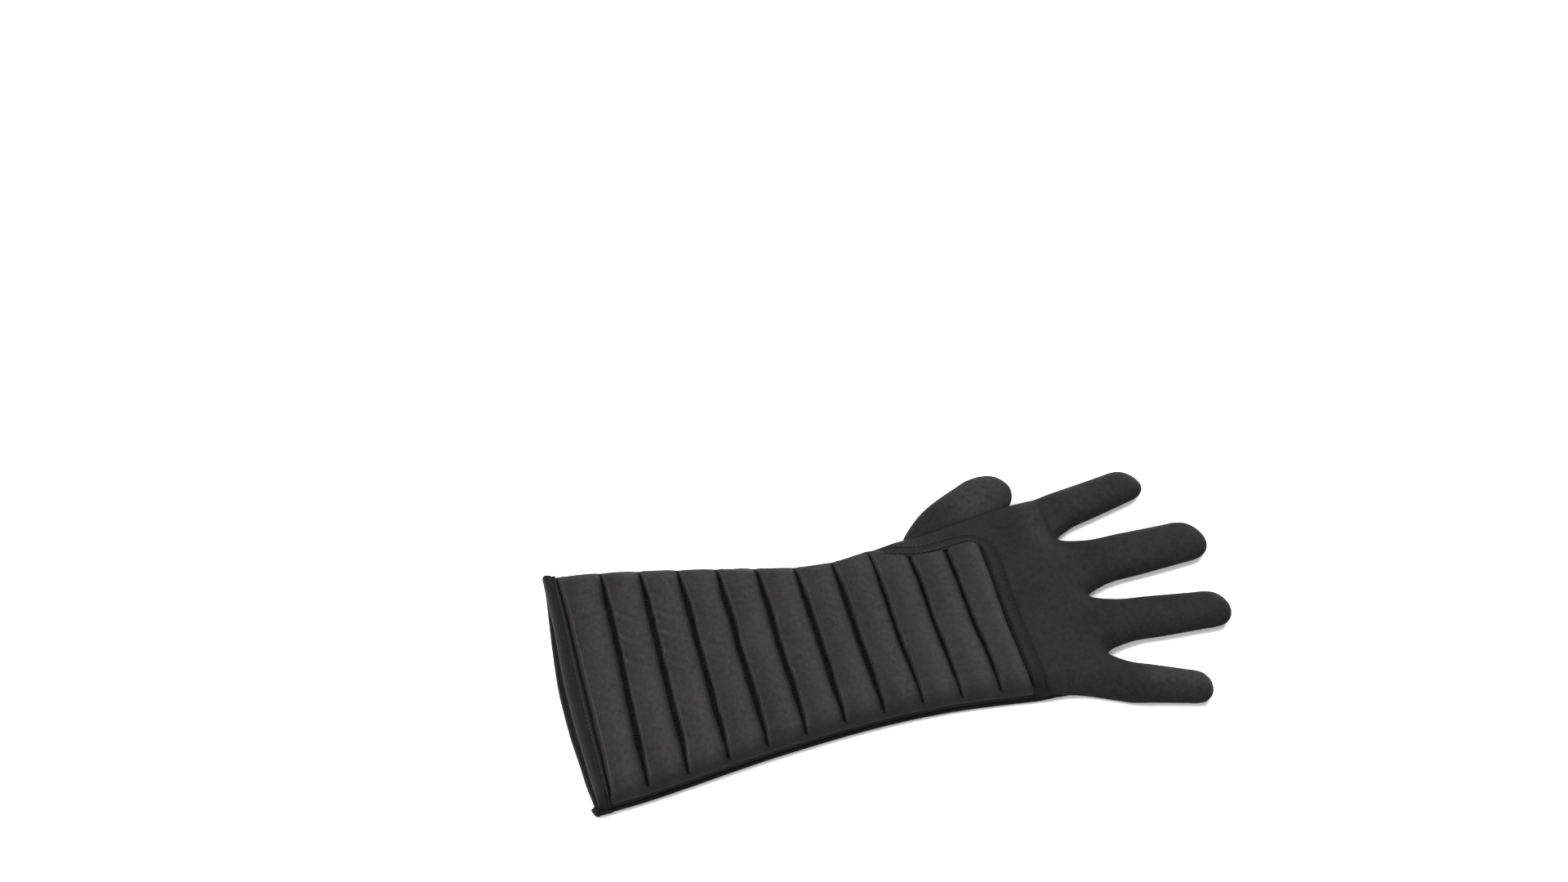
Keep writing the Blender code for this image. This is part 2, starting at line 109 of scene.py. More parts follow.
def smooth_line(points, step):
    """A centripetal Catmull-Rom line through the points, resampled to even steps."""
    points = np.asarray(points, float)
    ends = [2 * points[:1] - points[1:2], points, 2 * points[-1:] - points[-2:-1]]
    p = np.vstack(ends)
    fine = []
    for a, b, c, d in zip(p, p[1:], p[2:], p[3:]):
        k1, k2, k3 = (max(np.linalg.norm(n - m), 1e-6) ** 0.5 for m, n in ((a, b), (b, c), (c, d)))
        m1 = ((b - a) / k1 - (c - a) / (k1 + k2) + (c - b) / k2) * k2
        m2 = ((c - b) / k2 - (d - b) / (k2 + k3) + (d - c) / k3) * k2
        t = np.linspace(0, 1, 24, endpoint=False)[:, None]
        fine.append(
            (2 * t ** 3 - 3 * t ** 2 + 1) * b + (t ** 3 - 2 * t ** 2 + t) * m1
            + (3 * t ** 2 - 2 * t ** 3) * c + (t ** 3 - t ** 2) * m2
        )
    return even_steps(np.vstack(fine + [points[-1:]]), step)


def lengths_along(line):
    return np.r_[0, np.cumsum(np.linalg.norm(np.diff(line, axis=0), axis=1))]


def even_steps(line, step):
    along = lengths_along(line)
    count = max(2, int(round(along[-1] / step)) + 1)
    at = np.linspace(0, along[-1], count)
    return np.column_stack([np.interp(at, along, line[:, k]) for k in range(line.shape[1])])


def distance(points, line, block=3000):
    """How far each point of the plan is from a line of points."""
    a, ab = line[:-1], np.diff(line, axis=0)
    squared = (ab ** 2).sum(1)
    found = np.empty(len(points))
    for i in range(0, len(points), block):
        dx = points[i:i + block, 0, None] - a[:, 0]
        dy = points[i:i + block, 1, None] - a[:, 1]
        t = np.clip((dx * ab[:, 0] + dy * ab[:, 1]) / squared, 0, 1)
        dx -= t * ab[:, 0]
        dy -= t * ab[:, 1]
        found[i:i + block] = np.sqrt((dx * dx + dy * dy).min(1))
    return found


def inside(points, polygon):
    x, y = points[:, 0], points[:, 1]
    odd = np.zeros(len(points), bool)
    for (x0, y0), (x1, y1) in zip(polygon, np.roll(polygon, -1, axis=0)):
        if y0 == y1:
            continue
        crosses = (y0 > y) != (y1 > y)
        odd ^= crosses & (x < (x1 - x0) * (y - y0) / (y1 - y0) + x0)
    return odd


# ---------------------------------------------------------------- what the frame says


def node_points(*names):
    """All the CAD points of some nodes."""
    parts = []
    for name in names:
        mesh = frame["nodes"][name].data
        flat = np.empty(len(mesh.vertices) * 3, np.float32)
        mesh.vertices.foreach_get("co", flat)
        parts.append(flat.reshape(-1, 3).astype(float) / TO_M)
    return np.vstack(parts)


def long_edge(side, sign):
    """One long edge of the glove as (x, y), from the outer points of its piped seam."""
    points = node_points(f"gauntlet_seam_{side}", f"hand_seam_{side}")
    points = points[np.argsort(points[:, 0])]
    groups = np.split(points, np.flatnonzero(np.diff(points[:, 0]) > 1.5) + 1)
    edge = np.array([group[np.argmax(sign * group[:, 1]), :2] for group in groups])
    if sign > 0:
        edge[:, 1] -= WRIST_EASE * hump(edge[:, 0], WRIST[0] - 2, 26)
        edge[:, 1] += np.interp(edge[:, 0] - WRIST[0], *zip(*THUMB_COVER))
    return edge


def corner(node, x_way, y_way):
    """A corner of a node's plan: the point furthest that way."""
    points = node_points(node)
    return points[np.argmax(x_way * points[:, 0] + 2 * y_way * points[:, 1])]


WRIST = np.array(JOINTS["wrist_bend"]["pos_m"]) / TO_M
# How far the thumb-side edge is drawn in at the wrist.
WRIST_EASE = 2.8
# How far the hand's cloth reaches out over the thumb: (distance from the wrist, reach).
THUMB_COVER = ((30, 0), (44, 2.4), (55, 3.6), (72, 5.8), (90, 7.0), (100, 7.2), (110, 6.4), (125, 2.0))
THUMB_EDGE = long_edge("thumb_side", 1)
LITTLE_EDGE = long_edge("little_side", -1)
MOUTH_THUMB_X = corner("mouth_binding_back", -1, 1)[0]
MOUTH_LITTLE_X = corner("mouth_binding_back", -1, -1)[0]
HEM_WIDTH = corner("mouth_binding_back", 1, -1)[0] - MOUTH_LITTLE_X

BACK_RISE = 4.6
BACK_TOP = node_points("gauntlet_back_panel")[:, 2].min() + BACK_RISE
RIB_TOP = node_points("quilt_rib_03")[:, 2].max()
DRAPE_LIFT = node_points("quilt_rib_10")[:, 2].max() - RIB_TOP
SEAM_Z = 4.8
TAPE_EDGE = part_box("quilt_end_binding")[1][0] / TO_M


class Digit:
    """A finger or the thumb: its root on the hinge axis, its directions, length and half widths."""

    def __init__(self, name):
        joint = JOINTS[f"{name}_root_bend"]
        self.name = name
        self.root = np.array(joint["pos_m"][:2]) / TO_M
        self.across = np.array(joint["axis"][:2])
        self.along = np.array([self.across[1], -self.across[0]])
        base = self.local(node_points(f"{name}_base_palm"))
        tip = self.local(node_points(f"{name}_tip_palm"))
        self.length = tip[:, 0].max()
        self.root_half = np.abs(base[base[:, 0] < 1.0, 1]).max()
        self.tip_half = np.abs(tip[tip[:, 0] > 0.8 * self.length, 1]).max()
        knuckle = np.array(JOINTS[f"{name}_middle_bend"]["pos_m"][:2]) / TO_M
        self.knuckle = float((knuckle - self.root) @ self.along)

    def local(self, points):
        gap = points[:, :2] - self.root
        return np.column_stack([gap @ self.along, gap @ self.across])

    def place(self, s, w):
        return self.root + s * self.along + w * self.across

    def half(self, s):
        share = np.clip(s / (self.length - self.tip_half), 0, 1)
        return self.root_half + (self.tip_half - self.root_half) * share


FINGERS = [Digit(name) for name in ("little", "ring", "middle", "index")]
LITTLE, RING, MIDDLE, INDEX = FINGERS
THUMB = Digit("thumb")
# Places along a finger, from its root: where its base begins, and how far each bend reaches.
ROOT_LINE, KNUCKLE_ZONE, ROOT_ZONE = -2.0, 9.0, 12.0
PIECE_LINE = ROOT_ZONE + 1.0
WRIST_LINE = WRIST[0] + 19.0

# ---------------------------------------------------------------- outlines

STEP = 1.2
# How deep the web between two fingers lies behind their roots, and its shift towards the thumb.
CROTCH_DEPTH = 4.2
CROTCH_SHIFT = {"index": 2.6}
# The outline runs on past the mouth, which is cut out of it later.
MOUTH_EXTENSION, MOUTH_FLARE = 24.0, 2.5
# The side edges' own points stop this far before the first and last finger's root.
EDGE_STOP = 22
INDEX_ROOT_EASE = 1.6


def finger_line(finger):
    """Control points round one finger, from its little-finger side to its thumb side."""
    little_side, thumb_side, at_tip = CLOTH_EASE[finger.name]
    straight = finger.length - finger.tip_half + at_tip
    sides = [0.12, 0.4, 0.75]
    points = [finger.place(s * finger.length, -finger.half(s * finger.length) - little_side) for s in sides]
    for degrees in (-90, -60, -30, 0, 30, 60, 90):
        turn = math.radians(degrees)
        ease = thumb_side if degrees > 0 else little_side
        points.append(finger.place(
            straight + finger.tip_half * math.cos(turn), (finger.tip_half + ease) * math.sin(turn)
        ))
    for s in sides[::-1]:
        points.append(finger.place(s * finger.length, finger.half(s * finger.length) + thumb_side))
    return points


# How far the cloth stands outside the CAD finger: little-finger side, thumb side, tip.
CLOTH_EASE = {"little": (1.2, 1.3, 0.8), "ring": (0.3, 1.3, 0.9), "middle": (0.0, 2.4, 0.3),
              "index": (-2.0, 2.6, 0.4)}


def crotch(right, left):
    """Lowest point of the web between two neighbours."""
    middle = (right.place(0, right.root_half) + left.place(0, -left.root_half)) / 2
    shift = CROTCH_SHIFT.get(left.name, 0) * left.across
    return middle + shift - CROTCH_DEPTH * (right.along + left.along) / 2


def silhouette():
    """The glove's plan line from the mouth round the fingers back to the mouth, without the thumb."""
    first, last = LITTLE_EDGE[1], THUMB_EDGE[1]
    points = [(first[0] - MOUTH_EXTENSION, first[1] - MOUTH_FLARE)]
    points += [tuple(p) for p in LITTLE_EDGE[1:-1:2] if p[0] < LITTLE.root[0] - EDGE_STOP]
    points.append(tuple(LITTLE.place(-2, -LITTLE.root_half)))
    for i, finger in enumerate(FINGERS):
        points += [tuple(p) for p in finger_line(finger)]
        if i < 3:
            points.append(tuple(crotch(finger, FINGERS[i + 1])))
    points.append(tuple(INDEX.place(-3, INDEX.root_half + INDEX_ROOT_EASE)))
    thumb_side = [p for p in THUMB_EDGE[1:-1:2] if p[0] < INDEX.root[0] - EDGE_STOP]
    points += [tuple(p) for p in thumb_side[::-1]]
    points.append((last[0] - MOUTH_EXTENSION, last[1] + MOUTH_FLARE))
    return smooth_line(points, STEP)


RIM = silhouette()


def edge_y(x, thumb_side):
    """The silhouette's y along a long edge."""
    half = len(RIM) // 2
    line = RIM[half:][::-1] if thumb_side else RIM[:half]
    line = line[line[:, 0] < LITTLE.root[0] - 8]
    return np.interp(x, line[:, 0], line[:, 1])


def mouth_x(y):
    """The slanting mouth line."""
    low, high = edge_y(MOUTH_LITTLE_X, False), edge_y(MOUTH_THUMB_X, True)
    share = (np.asarray(y) - low) / (high - low)
    return MOUTH_LITTLE_X + (MOUTH_THUMB_X - MOUTH_LITTLE_X) * share


MOUTH_SETBACK = 1.6
OUTLINE = RIM[RIM[:, 0] > mouth_x(RIM[:, 1]) + MOUTH_SETBACK]

# ---------------------------------------------------------------- the lie of the glove


# Spans over which the lift over the thumb grows from the wrist, ends at the index root, and grows across
# the hand from the middle finger's line.
DRAPE_RISE, DRAPE_FALL, DRAPE_ACROSS = (-34, 36), (-33, 4), (-33.5, 9.5)
# Spans round the thumb's root within which the hand's edge lies on the thumb.
ON_THUMB_FROM, ON_THUMB_TO, ON_THUMB_ACROSS = (-28, -6), (42, 62), (-26, -4)


def drape(x, y):
    """How far the glove is lifted where it lies over its thumb."""
    rise = smoothstep(x - WRIST[0], *DRAPE_RISE)
    fall = 1 - smoothstep(x - INDEX.root[0], *DRAPE_FALL)
    return DRAPE_LIFT * rise * fall * smoothstep(y - MIDDLE.root[1], *DRAPE_ACROSS)


def over_thumb(x, y):
    """1 along the hand's edge where it lies on the thumb, and 0 elsewhere."""
    along, across = x - THUMB.root[0], y - THUMB.root[1]
    far = 1 - smoothstep(along, *ON_THUMB_TO)
    return smoothstep(along, *ON_THUMB_FROM) * far * smoothstep(across, *ON_THUMB_ACROSS)


# Folds across the palm side, (from the mouth, width, height), and slanting ones, (from the corner, height).
PALM_FOLDS = ((58, 5, 0.9), (74, 4, 0.7), (92, 6, 0.8), (112, 5, 0.5))
SLANTING_FOLDS = ((46, 1.0), (60, 1.2), (73, 0.8))


def palm_folds(x, y):
    """Soft folds across the palm side of the gauntlet and a few slanting ones near its mouth."""
    from_mouth = x - mouth_x(y)
    folds = 0.0
    for at, width, height in PALM_FOLDS:
        wave = at + 3 * lattice_noise(y, 0 * y, 40, int(at))
        folds = folds + height * hump(from_mouth, wave, width)
    slant = from_mouth + 0.9 * (y - edge_y(x, False))
    for at, height in SLANTING_FOLDS:
        folds = folds + height * hump(slant, at, 3.5) * (1 - smoothstep(from_mouth, 15, 60))
    return folds * smoothstep(from_mouth, 4, 16)


# The crease at each finger's root, from the little finger on: (along the finger, depth, slant, curve).
ROOT_CREASES = ((1, 0.40, 0.12, 0.01), (-3, 0.35, 0.12, 0.01), (-5, 0.75, 0.12, 0.01), (-4.9, 1.35, -0.16, 0))


def back_creases(x, y):
    """Creases and soft dents of the smooth back at the finger roots and beside the tape."""
    result = 0.0
    for finger, (at, depth, slant, curve) in zip(FINGERS, ROOT_CREASES):
        s, w = finger.local(np.column_stack([x, y])).T
        bow = s - at + curve * w * w + slant * w
        here = hump(w, 0, finger.root_half * 1.2)
        result = result - depth * smoothstep(bow, -1.4, 1.6) * (1 - smoothstep(bow, 2, 22)) * here
        result = result + 0.4 * depth * hump(bow, -5, 5) * here
        result = result - 0.35 * hump(s, finger.knuckle, 2.5) * here
        result = result + 0.25 * hump(s, finger.knuckle - 5, 3.5) * here
    plain = smoothstep(x, TAPE_EDGE - 6, TAPE_EDGE + 6)
    result = result + plain * 0.34 * layered_noise(x * 0.6 + y * 0.5, y - x * 0.5, 17, 21)
    result = result + (0.03 + 0.09 * plain) * layered_noise(x, y, 5, 31)
    return result


# The back rises less than the palm does over the thumb, because the cloth settles there.
TOP_DRAPE = 0.55
# How much thinner the fingers are than the hand, and how far in from the rim the back is rounded.
FINGER_THINNING = 1.2
ROUND_HAND, ROUND_FINGER_LESS, ROUND_ON_THUMB = 13, 1.5, 20
# Height of the side seams as a share of SEAM_Z: on the gauntlet, more on the fingers, less on the thumb.
SEAM_SHARE, SEAM_ON_FINGERS, SEAM_ON_THUMB = 0.58, 0.10, 0.54


def top_height(x, y, rim):
    """Height of the back's cloth at a distance from the rim."""
    full = BACK_TOP + TOP_DRAPE * drape(x, y)
    full = full - FINGER_THINNING * smoothstep(x, RING.root[0] - 10, RING.root[0] + 60)
    low = seam_height(x, y)
    radius = ROUND_HAND - ROUND_FINGER_LESS * smoothstep(x, TAPE_EDGE, TAPE_EDGE + 40)
    inner = smoothstep(rim, 2, 9)
    soft = over_thumb(x, y)
    share = (1 - soft) * swell(rim, radius, 1.75) + soft * swell(rim, ROUND_ON_THUMB, 1.2)
    return low + (full - low) * share + back_creases(x, y) * inner


def seam_height(x, y):
    """Height of the side seams, low where the glove lies flat."""
    fingers = smoothstep(x, TAPE_EDGE, TAPE_EDGE + 40)
    share = SEAM_SHARE + SEAM_ON_FINGERS * fingers - SEAM_ON_THUMB * over_thumb(x, y)
    return drape(x, y) + SEAM_Z * share


def bottom_height(x, y, rim):
    """Height of the palm's cloth at a distance from the rim."""
    low = seam_height(x, y)
    floor = drape(x, y) + 0.05 + 0.35 * (1 - smoothstep(x, WRIST[0] - 60, WRIST[0]))
    folds = palm_folds(x, y) * smoothstep(rim, 2, 12)
    return low + (floor - low) * swell(rim, 5.5) + folds


# ---------------------------------------------------------------- meshes


def new_piece(name, points, faces, material, normals=None, extras=None):
    """A mesh object from points in millimetres, with its place at rest kept as an attribute."""
    points = np.asarray(points, float) * TO_M
    mesh = bpy.data.meshes.new(name)
    mesh.from_pydata(points.tolist(), [], [tuple(int(i) for i in face) for face in faces])
    mesh.update()
    mesh.shade_smooth()
    at_rest = mesh.attributes.new("rest_place", "FLOAT_VECTOR", "POINT")
    at_rest.data.foreach_set("vector", points.astype(np.float32).ravel())
    for key, values in (extras or {}).items():
        held = mesh.attributes.new(key, "FLOAT", "POINT")
        held.data.foreach_set("value", np.asarray(values, np.float32))
    if normals is not None:
        mesh.normals_split_custom_set_from_vertices(np.asarray(normals).tolist())
    mesh.materials.append(material)
    obj = bpy.data.objects.new(name, mesh)
    bpy.context.scene.collection.objects.link(obj)
    return obj


def vertex_normals(points, triangles):
    a, b, c = (points[triangles[:, k]] for k in range(3))
    face = np.cross(b - a, c - a)
    total = np.zeros_like(points)
    for k in range(3):
        np.add.at(total, triangles[:, k], face)
    return total / np.maximum(np.linalg.norm(total, axis=1, keepdims=True), 1e-12)


def grid_faces(rows, columns, around=False):
    """Quads of a grid of rows x columns points; around closes the columns into a ring."""
    faces = []
    for i in range(rows - 1):
        for j in range(columns if around else columns - 1):
            k = (j + 1) % columns
            faces.append((i * columns + j, i * columns + k, (i + 1) * columns + k, (i + 1) * columns + j))
    return faces


def frames_along(line):
    """Sideways and upward unit vectors along a line in space."""
    tangent = np.gradient(line, axis=0)
    tangent /= np.maximum(np.linalg.norm(tangent, axis=1, keepdims=True), 1e-9)
    side = np.cross(tangent, [0, 0, 1.0])
    side[np.linalg.norm(side, axis=1) < 1e-3] = [0, 1, 0]
    side /= np.linalg.norm(side, axis=1, keepdims=True)
    return side, np.cross(side, tangent)


def capped(rings, first, last):
    """Skin over rings of points, closed with one point at each end: (points, faces)."""
    rows, sides = rings.shape[:2]
    faces = grid_faces(rows, sides, around=True)
    start, bottom, top = (rows - 1) * sides, rows * sides, rows * sides + 1
    for j in range(sides):
        k = (j + 1) % sides
        faces += [(bottom, k, j), (top, start + j, start + k)]
    return np.vstack([rings.reshape(-1, 3), [first, last]]), faces


def tube(line, wide, sides=8, tall=None):
    """A closed tube along a line: round, or with an upright oval section if it has a half height too."""
    side, up = frames_along(line)
    wide = np.broadcast_to(wide, len(line))[:, None, None]
    if tall is None:
        tall = wide
    else:
        tall, up = tall[:, None, None], np.array([[0, 0, 1.0]])
        side[:, 2] = 0
    turns = np.linspace(0, 2 * math.pi, sides, endpoint=False)[None, :, None]
    rings = line[:, None] + np.cos(turns) * wide * side[:, None] + np.sin(turns) * tall * up[:, None]
    points, faces = capped(rings, line[0], line[-1])
    return points, [face[::-1] for face in faces]


def joined(parts):
    """Many skins as one: (points, faces)."""
    points, faces, shift = [], [], 0
    for some_points, some_faces in parts:
        points.append(some_points)
        faces += [tuple(i + shift for i in face) for face in some_faces]
        shift += len(some_points)
    return np.vstack(points), faces


def run_of_stitches(line, length, gap, radius, sink=0.25):
    """A row of short threads along a line, each dipping into the cloth at both ends."""
    along = lengths_along(line)
    parts = []
    start = gap
    while start + length < along[-1]:
        at = start + length * np.array([0, 0.12, 0.5, 0.88, 1])
        points = np.column_stack([np.interp(at, along, line[:, k]) for k in range(3)])
        points[:, 2] += np.array([-sink, 0.02, 0.06, 0.02, -sink])
        parts.append(tube(points, radius * np.array([0.6, 1, 1.05, 1, 0.6]), 6))
        start += length + gap
    return joined(parts)


# ---------------------------------------------------------------- materials


def fill(tree, node, inputs):
    """Sets a node's inputs: a number or colour is set, and a socket is linked."""
    for key, value in inputs.items():
        if isinstance(value, bpy.types.NodeSocket):
            tree.links.new(value, node.inputs[key])
        else:
            node.inputs[key].default_value = value
    return node


def add_node(tree, kind, inputs, **settings):
    node = tree.nodes.new("ShaderNode" + kind)
    for key, value in settings.items():
        setattr(node, key, value)
    return fill(tree, node, inputs)


def attribute(tree, name, output="Fac"):
    return add_node(tree, "Attribute", {}, attribute_name=name).outputs[output]


def nodes_of(name):
    material = bpy.data.materials.new(name)
    material.use_nodes = True
    tree = material.node_tree
    return material, tree, tree.nodes["Principled BSDF"], attribute(tree, "rest_place", "Vector")


def noise(tree, vector, size_mm, detail=2.0, roughness=0.5, stretch=(1, 1, 1)):
    """Noise with lumps of about size_mm."""
    mapped = add_node(tree, "Mapping", {"Scale": stretch, "Vector": vector}).outputs["Vector"]
    inputs = {"Scale": 1000 / size_mm, "Detail": detail, "Roughness": roughness, "Vector": mapped}
    return add_node(tree, "TexNoise", inputs).outputs["Fac"]


def ranged(tree, value, low, high, to_low=0, to_high=1):
    inputs = {"From Min": low, "From Max": high, "To Min": to_low, "To Max": to_high, "Value": value}
    return add_node(tree, "MapRange", inputs).outputs["Result"]


def math_node(tree, operation, first, second):
    return add_node(tree, "Math", {0: first, 1: second}, operation=operation).outputs[0]


def weighed(tree, *pairs):
    """Sum of (value, weight) pairs."""
    total = None
    for value, weight in pairs:
        part = value if weight == 1 else math_node(tree, "MULTIPLY", value, weight)
        total = part if total is None else math_node(tree, "ADD", total, part)
    return total


def mixed(tree, factor, first, second):
    """A colour between two, each a socket or (red, green, blue)."""
    node = add_node(tree, "Mix", {"Factor": factor}, data_type="RGBA")
    for key, value in (("A", first), ("B", second)):
        index = next(i for i, s in enumerate(node.inputs) if s.name == key and s.type == "RGBA")
        fill(tree, node, {index: (*value, 1) if isinstance(value, tuple) else value})
    return next(s for s in node.outputs if s.type == "RGBA")


# Scale of a wave texture whose bands are 1 mm apart.
BANDS_PER_MM = 1000 * math.pi / 10


def bands(tree, vector, direction, scale, inputs):
    inputs = {"Scale": scale, "Vector": vector, **inputs}
    return add_node(tree, "TexWave", inputs, bands_direction=direction).outputs["Fac"]


def knit(tree, vector, pitch_mm):
    """Height of a fine knit: wales and courses as two crossed waves."""
    loose = {"Distortion": 1.2, "Detail": 1.0, "Detail Scale": 2.0}
    waves = [bands(tree, vector, direction, BANDS_PER_MM / pitch_mm * share, loose)
             for direction, share in (("X", 1.0), ("Y", 0.8))]
    return math_node(tree, "MULTIPLY", *waves)


def bumped(tree, height, depth_mm):
    return add_node(tree, "Bump", {"Distance": depth_mm * TO_M, "Height": height}).outputs["Normal"]


IN_SHADE = (0.002, 0.002, 0.002)


def fabric(name, dark, light, painted_light_colour, gloss, pitch_mm=0.55, grain=0.8, rough=(0.55, 0.72)):
    """Satin-like knitted cloth: mottled and speckled colour, paler where painted light is put on, darker
    where painted shade is put on, a fine knit.
    """
    material, tree, shader, place = nodes_of(name)
    cloudy = noise(tree, place, 30, 2)
    patchy = noise(tree, place, 2.3, 2, 0.6, (1, 0.7, 1))
    speckle = noise(tree, place, 0.8, 2, 0.8)
    fibre = noise(tree, place, 0.45, 1, 0.5, (1, 0.25, 1))
    tone = weighed(tree, (cloudy, 0.45), (patchy, 0.5), (speckle, grain))
    tone = ranged(tree, tone, 0.29 + 0.36 * grain, 0.66 + 0.64 * grain)
    # Painted light and shade: the colour is drawn towards a paler tone where painted light is put on, and
    # towards IN_SHADE where painted shade is put on.
    painted_light_share = math_node(tree, "MULTIPLY", attribute(tree, "wear"), ranged(tree, patchy, 0.3, 0.7, 0.4))
    colour = mixed(tree, painted_light_share, mixed(tree, tone, dark, light), painted_light_colour)
    height = weighed(tree, (knit(tree, place, pitch_mm), 1), (fibre, 0.9), (speckle, 0.9))
    fill(tree, shader, {
        "Base Color": mixed(tree, attribute(tree, "deep"), colour, IN_SHADE),
        "Roughness": ranged(tree, speckle, 0.3, 0.7, *rough), "Normal": bumped(tree, height, 0.05),
        "Sheen Weight": 0.02, "Sheen Roughness": 0.45, "Specular IOR Level": gloss})
    return material


def thread(name, dark, light):
    """Twisted sewing thread."""
    material, tree, shader, place = nodes_of(name)
    twist = bands(tree, place, "DIAGONAL", BANDS_PER_MM / 0.5, {"Distortion": 0.6})
    tone = math_node(tree, "MULTIPLY", twist, noise(tree, place, 1.5, 2))
    fill(tree, shader, {
        "Base Color": mixed(tree, ranged(tree, tone, 0.1, 0.6), dark, light),
        "Roughness": ranged(tree, tone, 0, 1, 0.45, 0.6), "Normal": bumped(tree, twist, 0.06),
        "Specular IOR Level": 0.08})
    return material


def fleece(name, dark, light):
    """Brushed cream lining."""
    material, tree, shader, place = nodes_of(name)
    nap = noise(tree, place, 0.7, 3, 0.7)
    tone = ranged(tree, weighed(tree, (nap, 0.6), (noise(tree, place, 9, 3), 0.4)), 0.3, 0.7)
    fill(tree, shader, {
        "Base Color": mixed(tree, tone, dark, light), "Roughness": ranged(tree, nap, 0.3, 0.7, 0.8, 0.95),
        "Normal": bumped(tree, nap, 0.15), "Sheen Weight": 0.3, "Sheen Roughness": 0.6})
    return material


# The third colour of each fabric() cloth is the paler tone of its painted light.
SMOOTH = fabric("smooth_fabric", (0.0020, 0.0023, 0.0022), (0.0125, 0.0132, 0.0128), (0.020, 0.021, 0.020),
                gloss=0.065)
QUILT = fabric("quilt_fabric", (0.0025, 0.0024, 0.0022), (0.0135, 0.0131, 0.0124), (0.024, 0.0238, 0.0226),
               gloss=0.14)
BINDING = fabric("binding_tape", (0.0020, 0.0025, 0.0023), (0.0072, 0.0082, 0.0078), (0.012, 0.013, 0.012),
                 pitch_mm=0.8, grain=0.5, gloss=0.07)
PIPING = fabric("seam_piping", (0.0008, 0.0009, 0.0009), (0.0022, 0.0024, 0.0023), (0.004, 0.004, 0.004),
                pitch_mm=0.5, grain=0.3, rough=(0.5, 0.62), gloss=0.05)
THREAD = thread("sewing_thread", (0.0006, 0.0007, 0.0007), (0.0022, 0.0024, 0.0023))
# The ladder thread is the sewing thread painted paler: a painted highlight on the rungs across the grooves.
LADDER = thread("ladder_thread", (0.0016, 0.0017, 0.0017), (0.0075, 0.0080, 0.0076))
LINING = fleece("lining_fabric", (0.62, 0.57, 0.46), (0.80, 0.77, 0.68))

# ---------------------------------------------------------------- the smooth cloth and the lining

# Spacing of the cloth's points: rings this far in from its rim, and then a honeycomb.
RING_STEPS = (0.2, 0.55, 1.1, 1.9, 3.0, 4.4)
GRID = 1.9
LINE_PITCH = 1.5
# The lining lies this far inside the rim and behind the mouth, at this share of the cloth's height.
LINING_INSET, LINING_SETBACK, LINING_SHARE = 0.55, 4.5, 0.78


def nearest(line, point):
    return int(np.argmin(((line - point) ** 2).sum(1)))


def honeycomb(low, high, pitch):
    xs = np.arange(low[0], high[0], pitch)
    ys = np.arange(low[1], high[1], pitch * 0.866)
    x, y = np.meshgrid(xs, ys)
    x = x + (np.arange(len(ys)) % 2)[:, None] * pitch / 2
    return np.column_stack([x.ravel(), y.ravel()])


def seeds(outline, walls):
    """Points inside an outline: rings close to the walls, a honeycomb further in."""
    along = np.gradient(outline, axis=0)
    along /= np.linalg.norm(along, axis=1, keepdims=True)
    inward = np.column_stack([-along[:, 1], along[:, 0]])
    found = []
    for k, depth in enumerate(RING_STEPS):
        step = 1 if depth < 1.5 else 2
        ring = (outline + inward * depth)[k % 2::step]
        found.append(ring[distance(ring, walls) > depth - 0.06])
    grid = honeycomb(outline.min(0), outline.max(0), GRID)
    grid = grid[inside(grid, outline)]
    found.append(grid[distance(grid, walls) > RING_STEPS[-1] + 0.8])
    return np.vstack(found)


def split_line(a, b, pitch):
    """Points between two points of the outline, closer together near its ends."""
    span = np.linalg.norm(b - a)
    count = max(8, int(span / pitch))
    t = np.linspace(0, 1, count + 1)
    t = t - 0.11 * np.sin(2 * math.pi * t)
    extra = np.array([0.3, 0.9, 1.7]) / span
    t = np.unique(np.r_[t, extra, 1 - extra])
    return a + t[:, None] * (b - a)


def triangulate(outline, inner, lines):
    """Triangles inside the outline through all the points, with the lines kept as edges."""
    points = [Vector(p) for p in outline]
    edges = []
    for line, (i, j) in lines:
        ids = [i] + list(range(len(points), len(points) + len(line) - 2)) + [j]
        points += [Vector(p) for p in line[1:-1]]
        edges += list(zip(ids, ids[1:]))
    points += [Vector(p) for p in inner]
    out = delaunay_2d_cdt(points, edges, [list(range(len(outline)))], 1, 1e-5, False)
    plan = np.array([tuple(v) for v in out[0]])
    triangles = np.array(out[2])
    a, b, c = (plan[triangles[:, k]] for k in range(3))
    turned = (b - a)[:, 0] * (c - a)[:, 1] - (b - a)[:, 1] * (c - a)[:, 0] < 0
    triangles[turned] = triangles[turned][:, ::-1]
    return plan, triangles[inside(plan[triangles].mean(1), outline)]


def clear_of(points, lines, gap=0.8):
    for line in lines:
        points = points[distance(points, line) > gap]
    return points


def meshed(outline, wall, spans):
    """Plan points and triangles inside an outline, with a line of edges across it for every span.

    Also gives the middle of each triangle, and how far each point is from the wall.
    """
    lines = [(split_line(outline[i], outline[j], LINE_PITCH), (i, j)) for i, j in spans]
    inner = clear_of(seeds(outline, wall), [line for line, _ in lines])
    plan, triangles = triangulate(outline, inner, lines)
    rim = distance(plan, wall)
    rim[rim < 1e-3] = 0
    return plan, triangles, plan[triangles].mean(1), rim


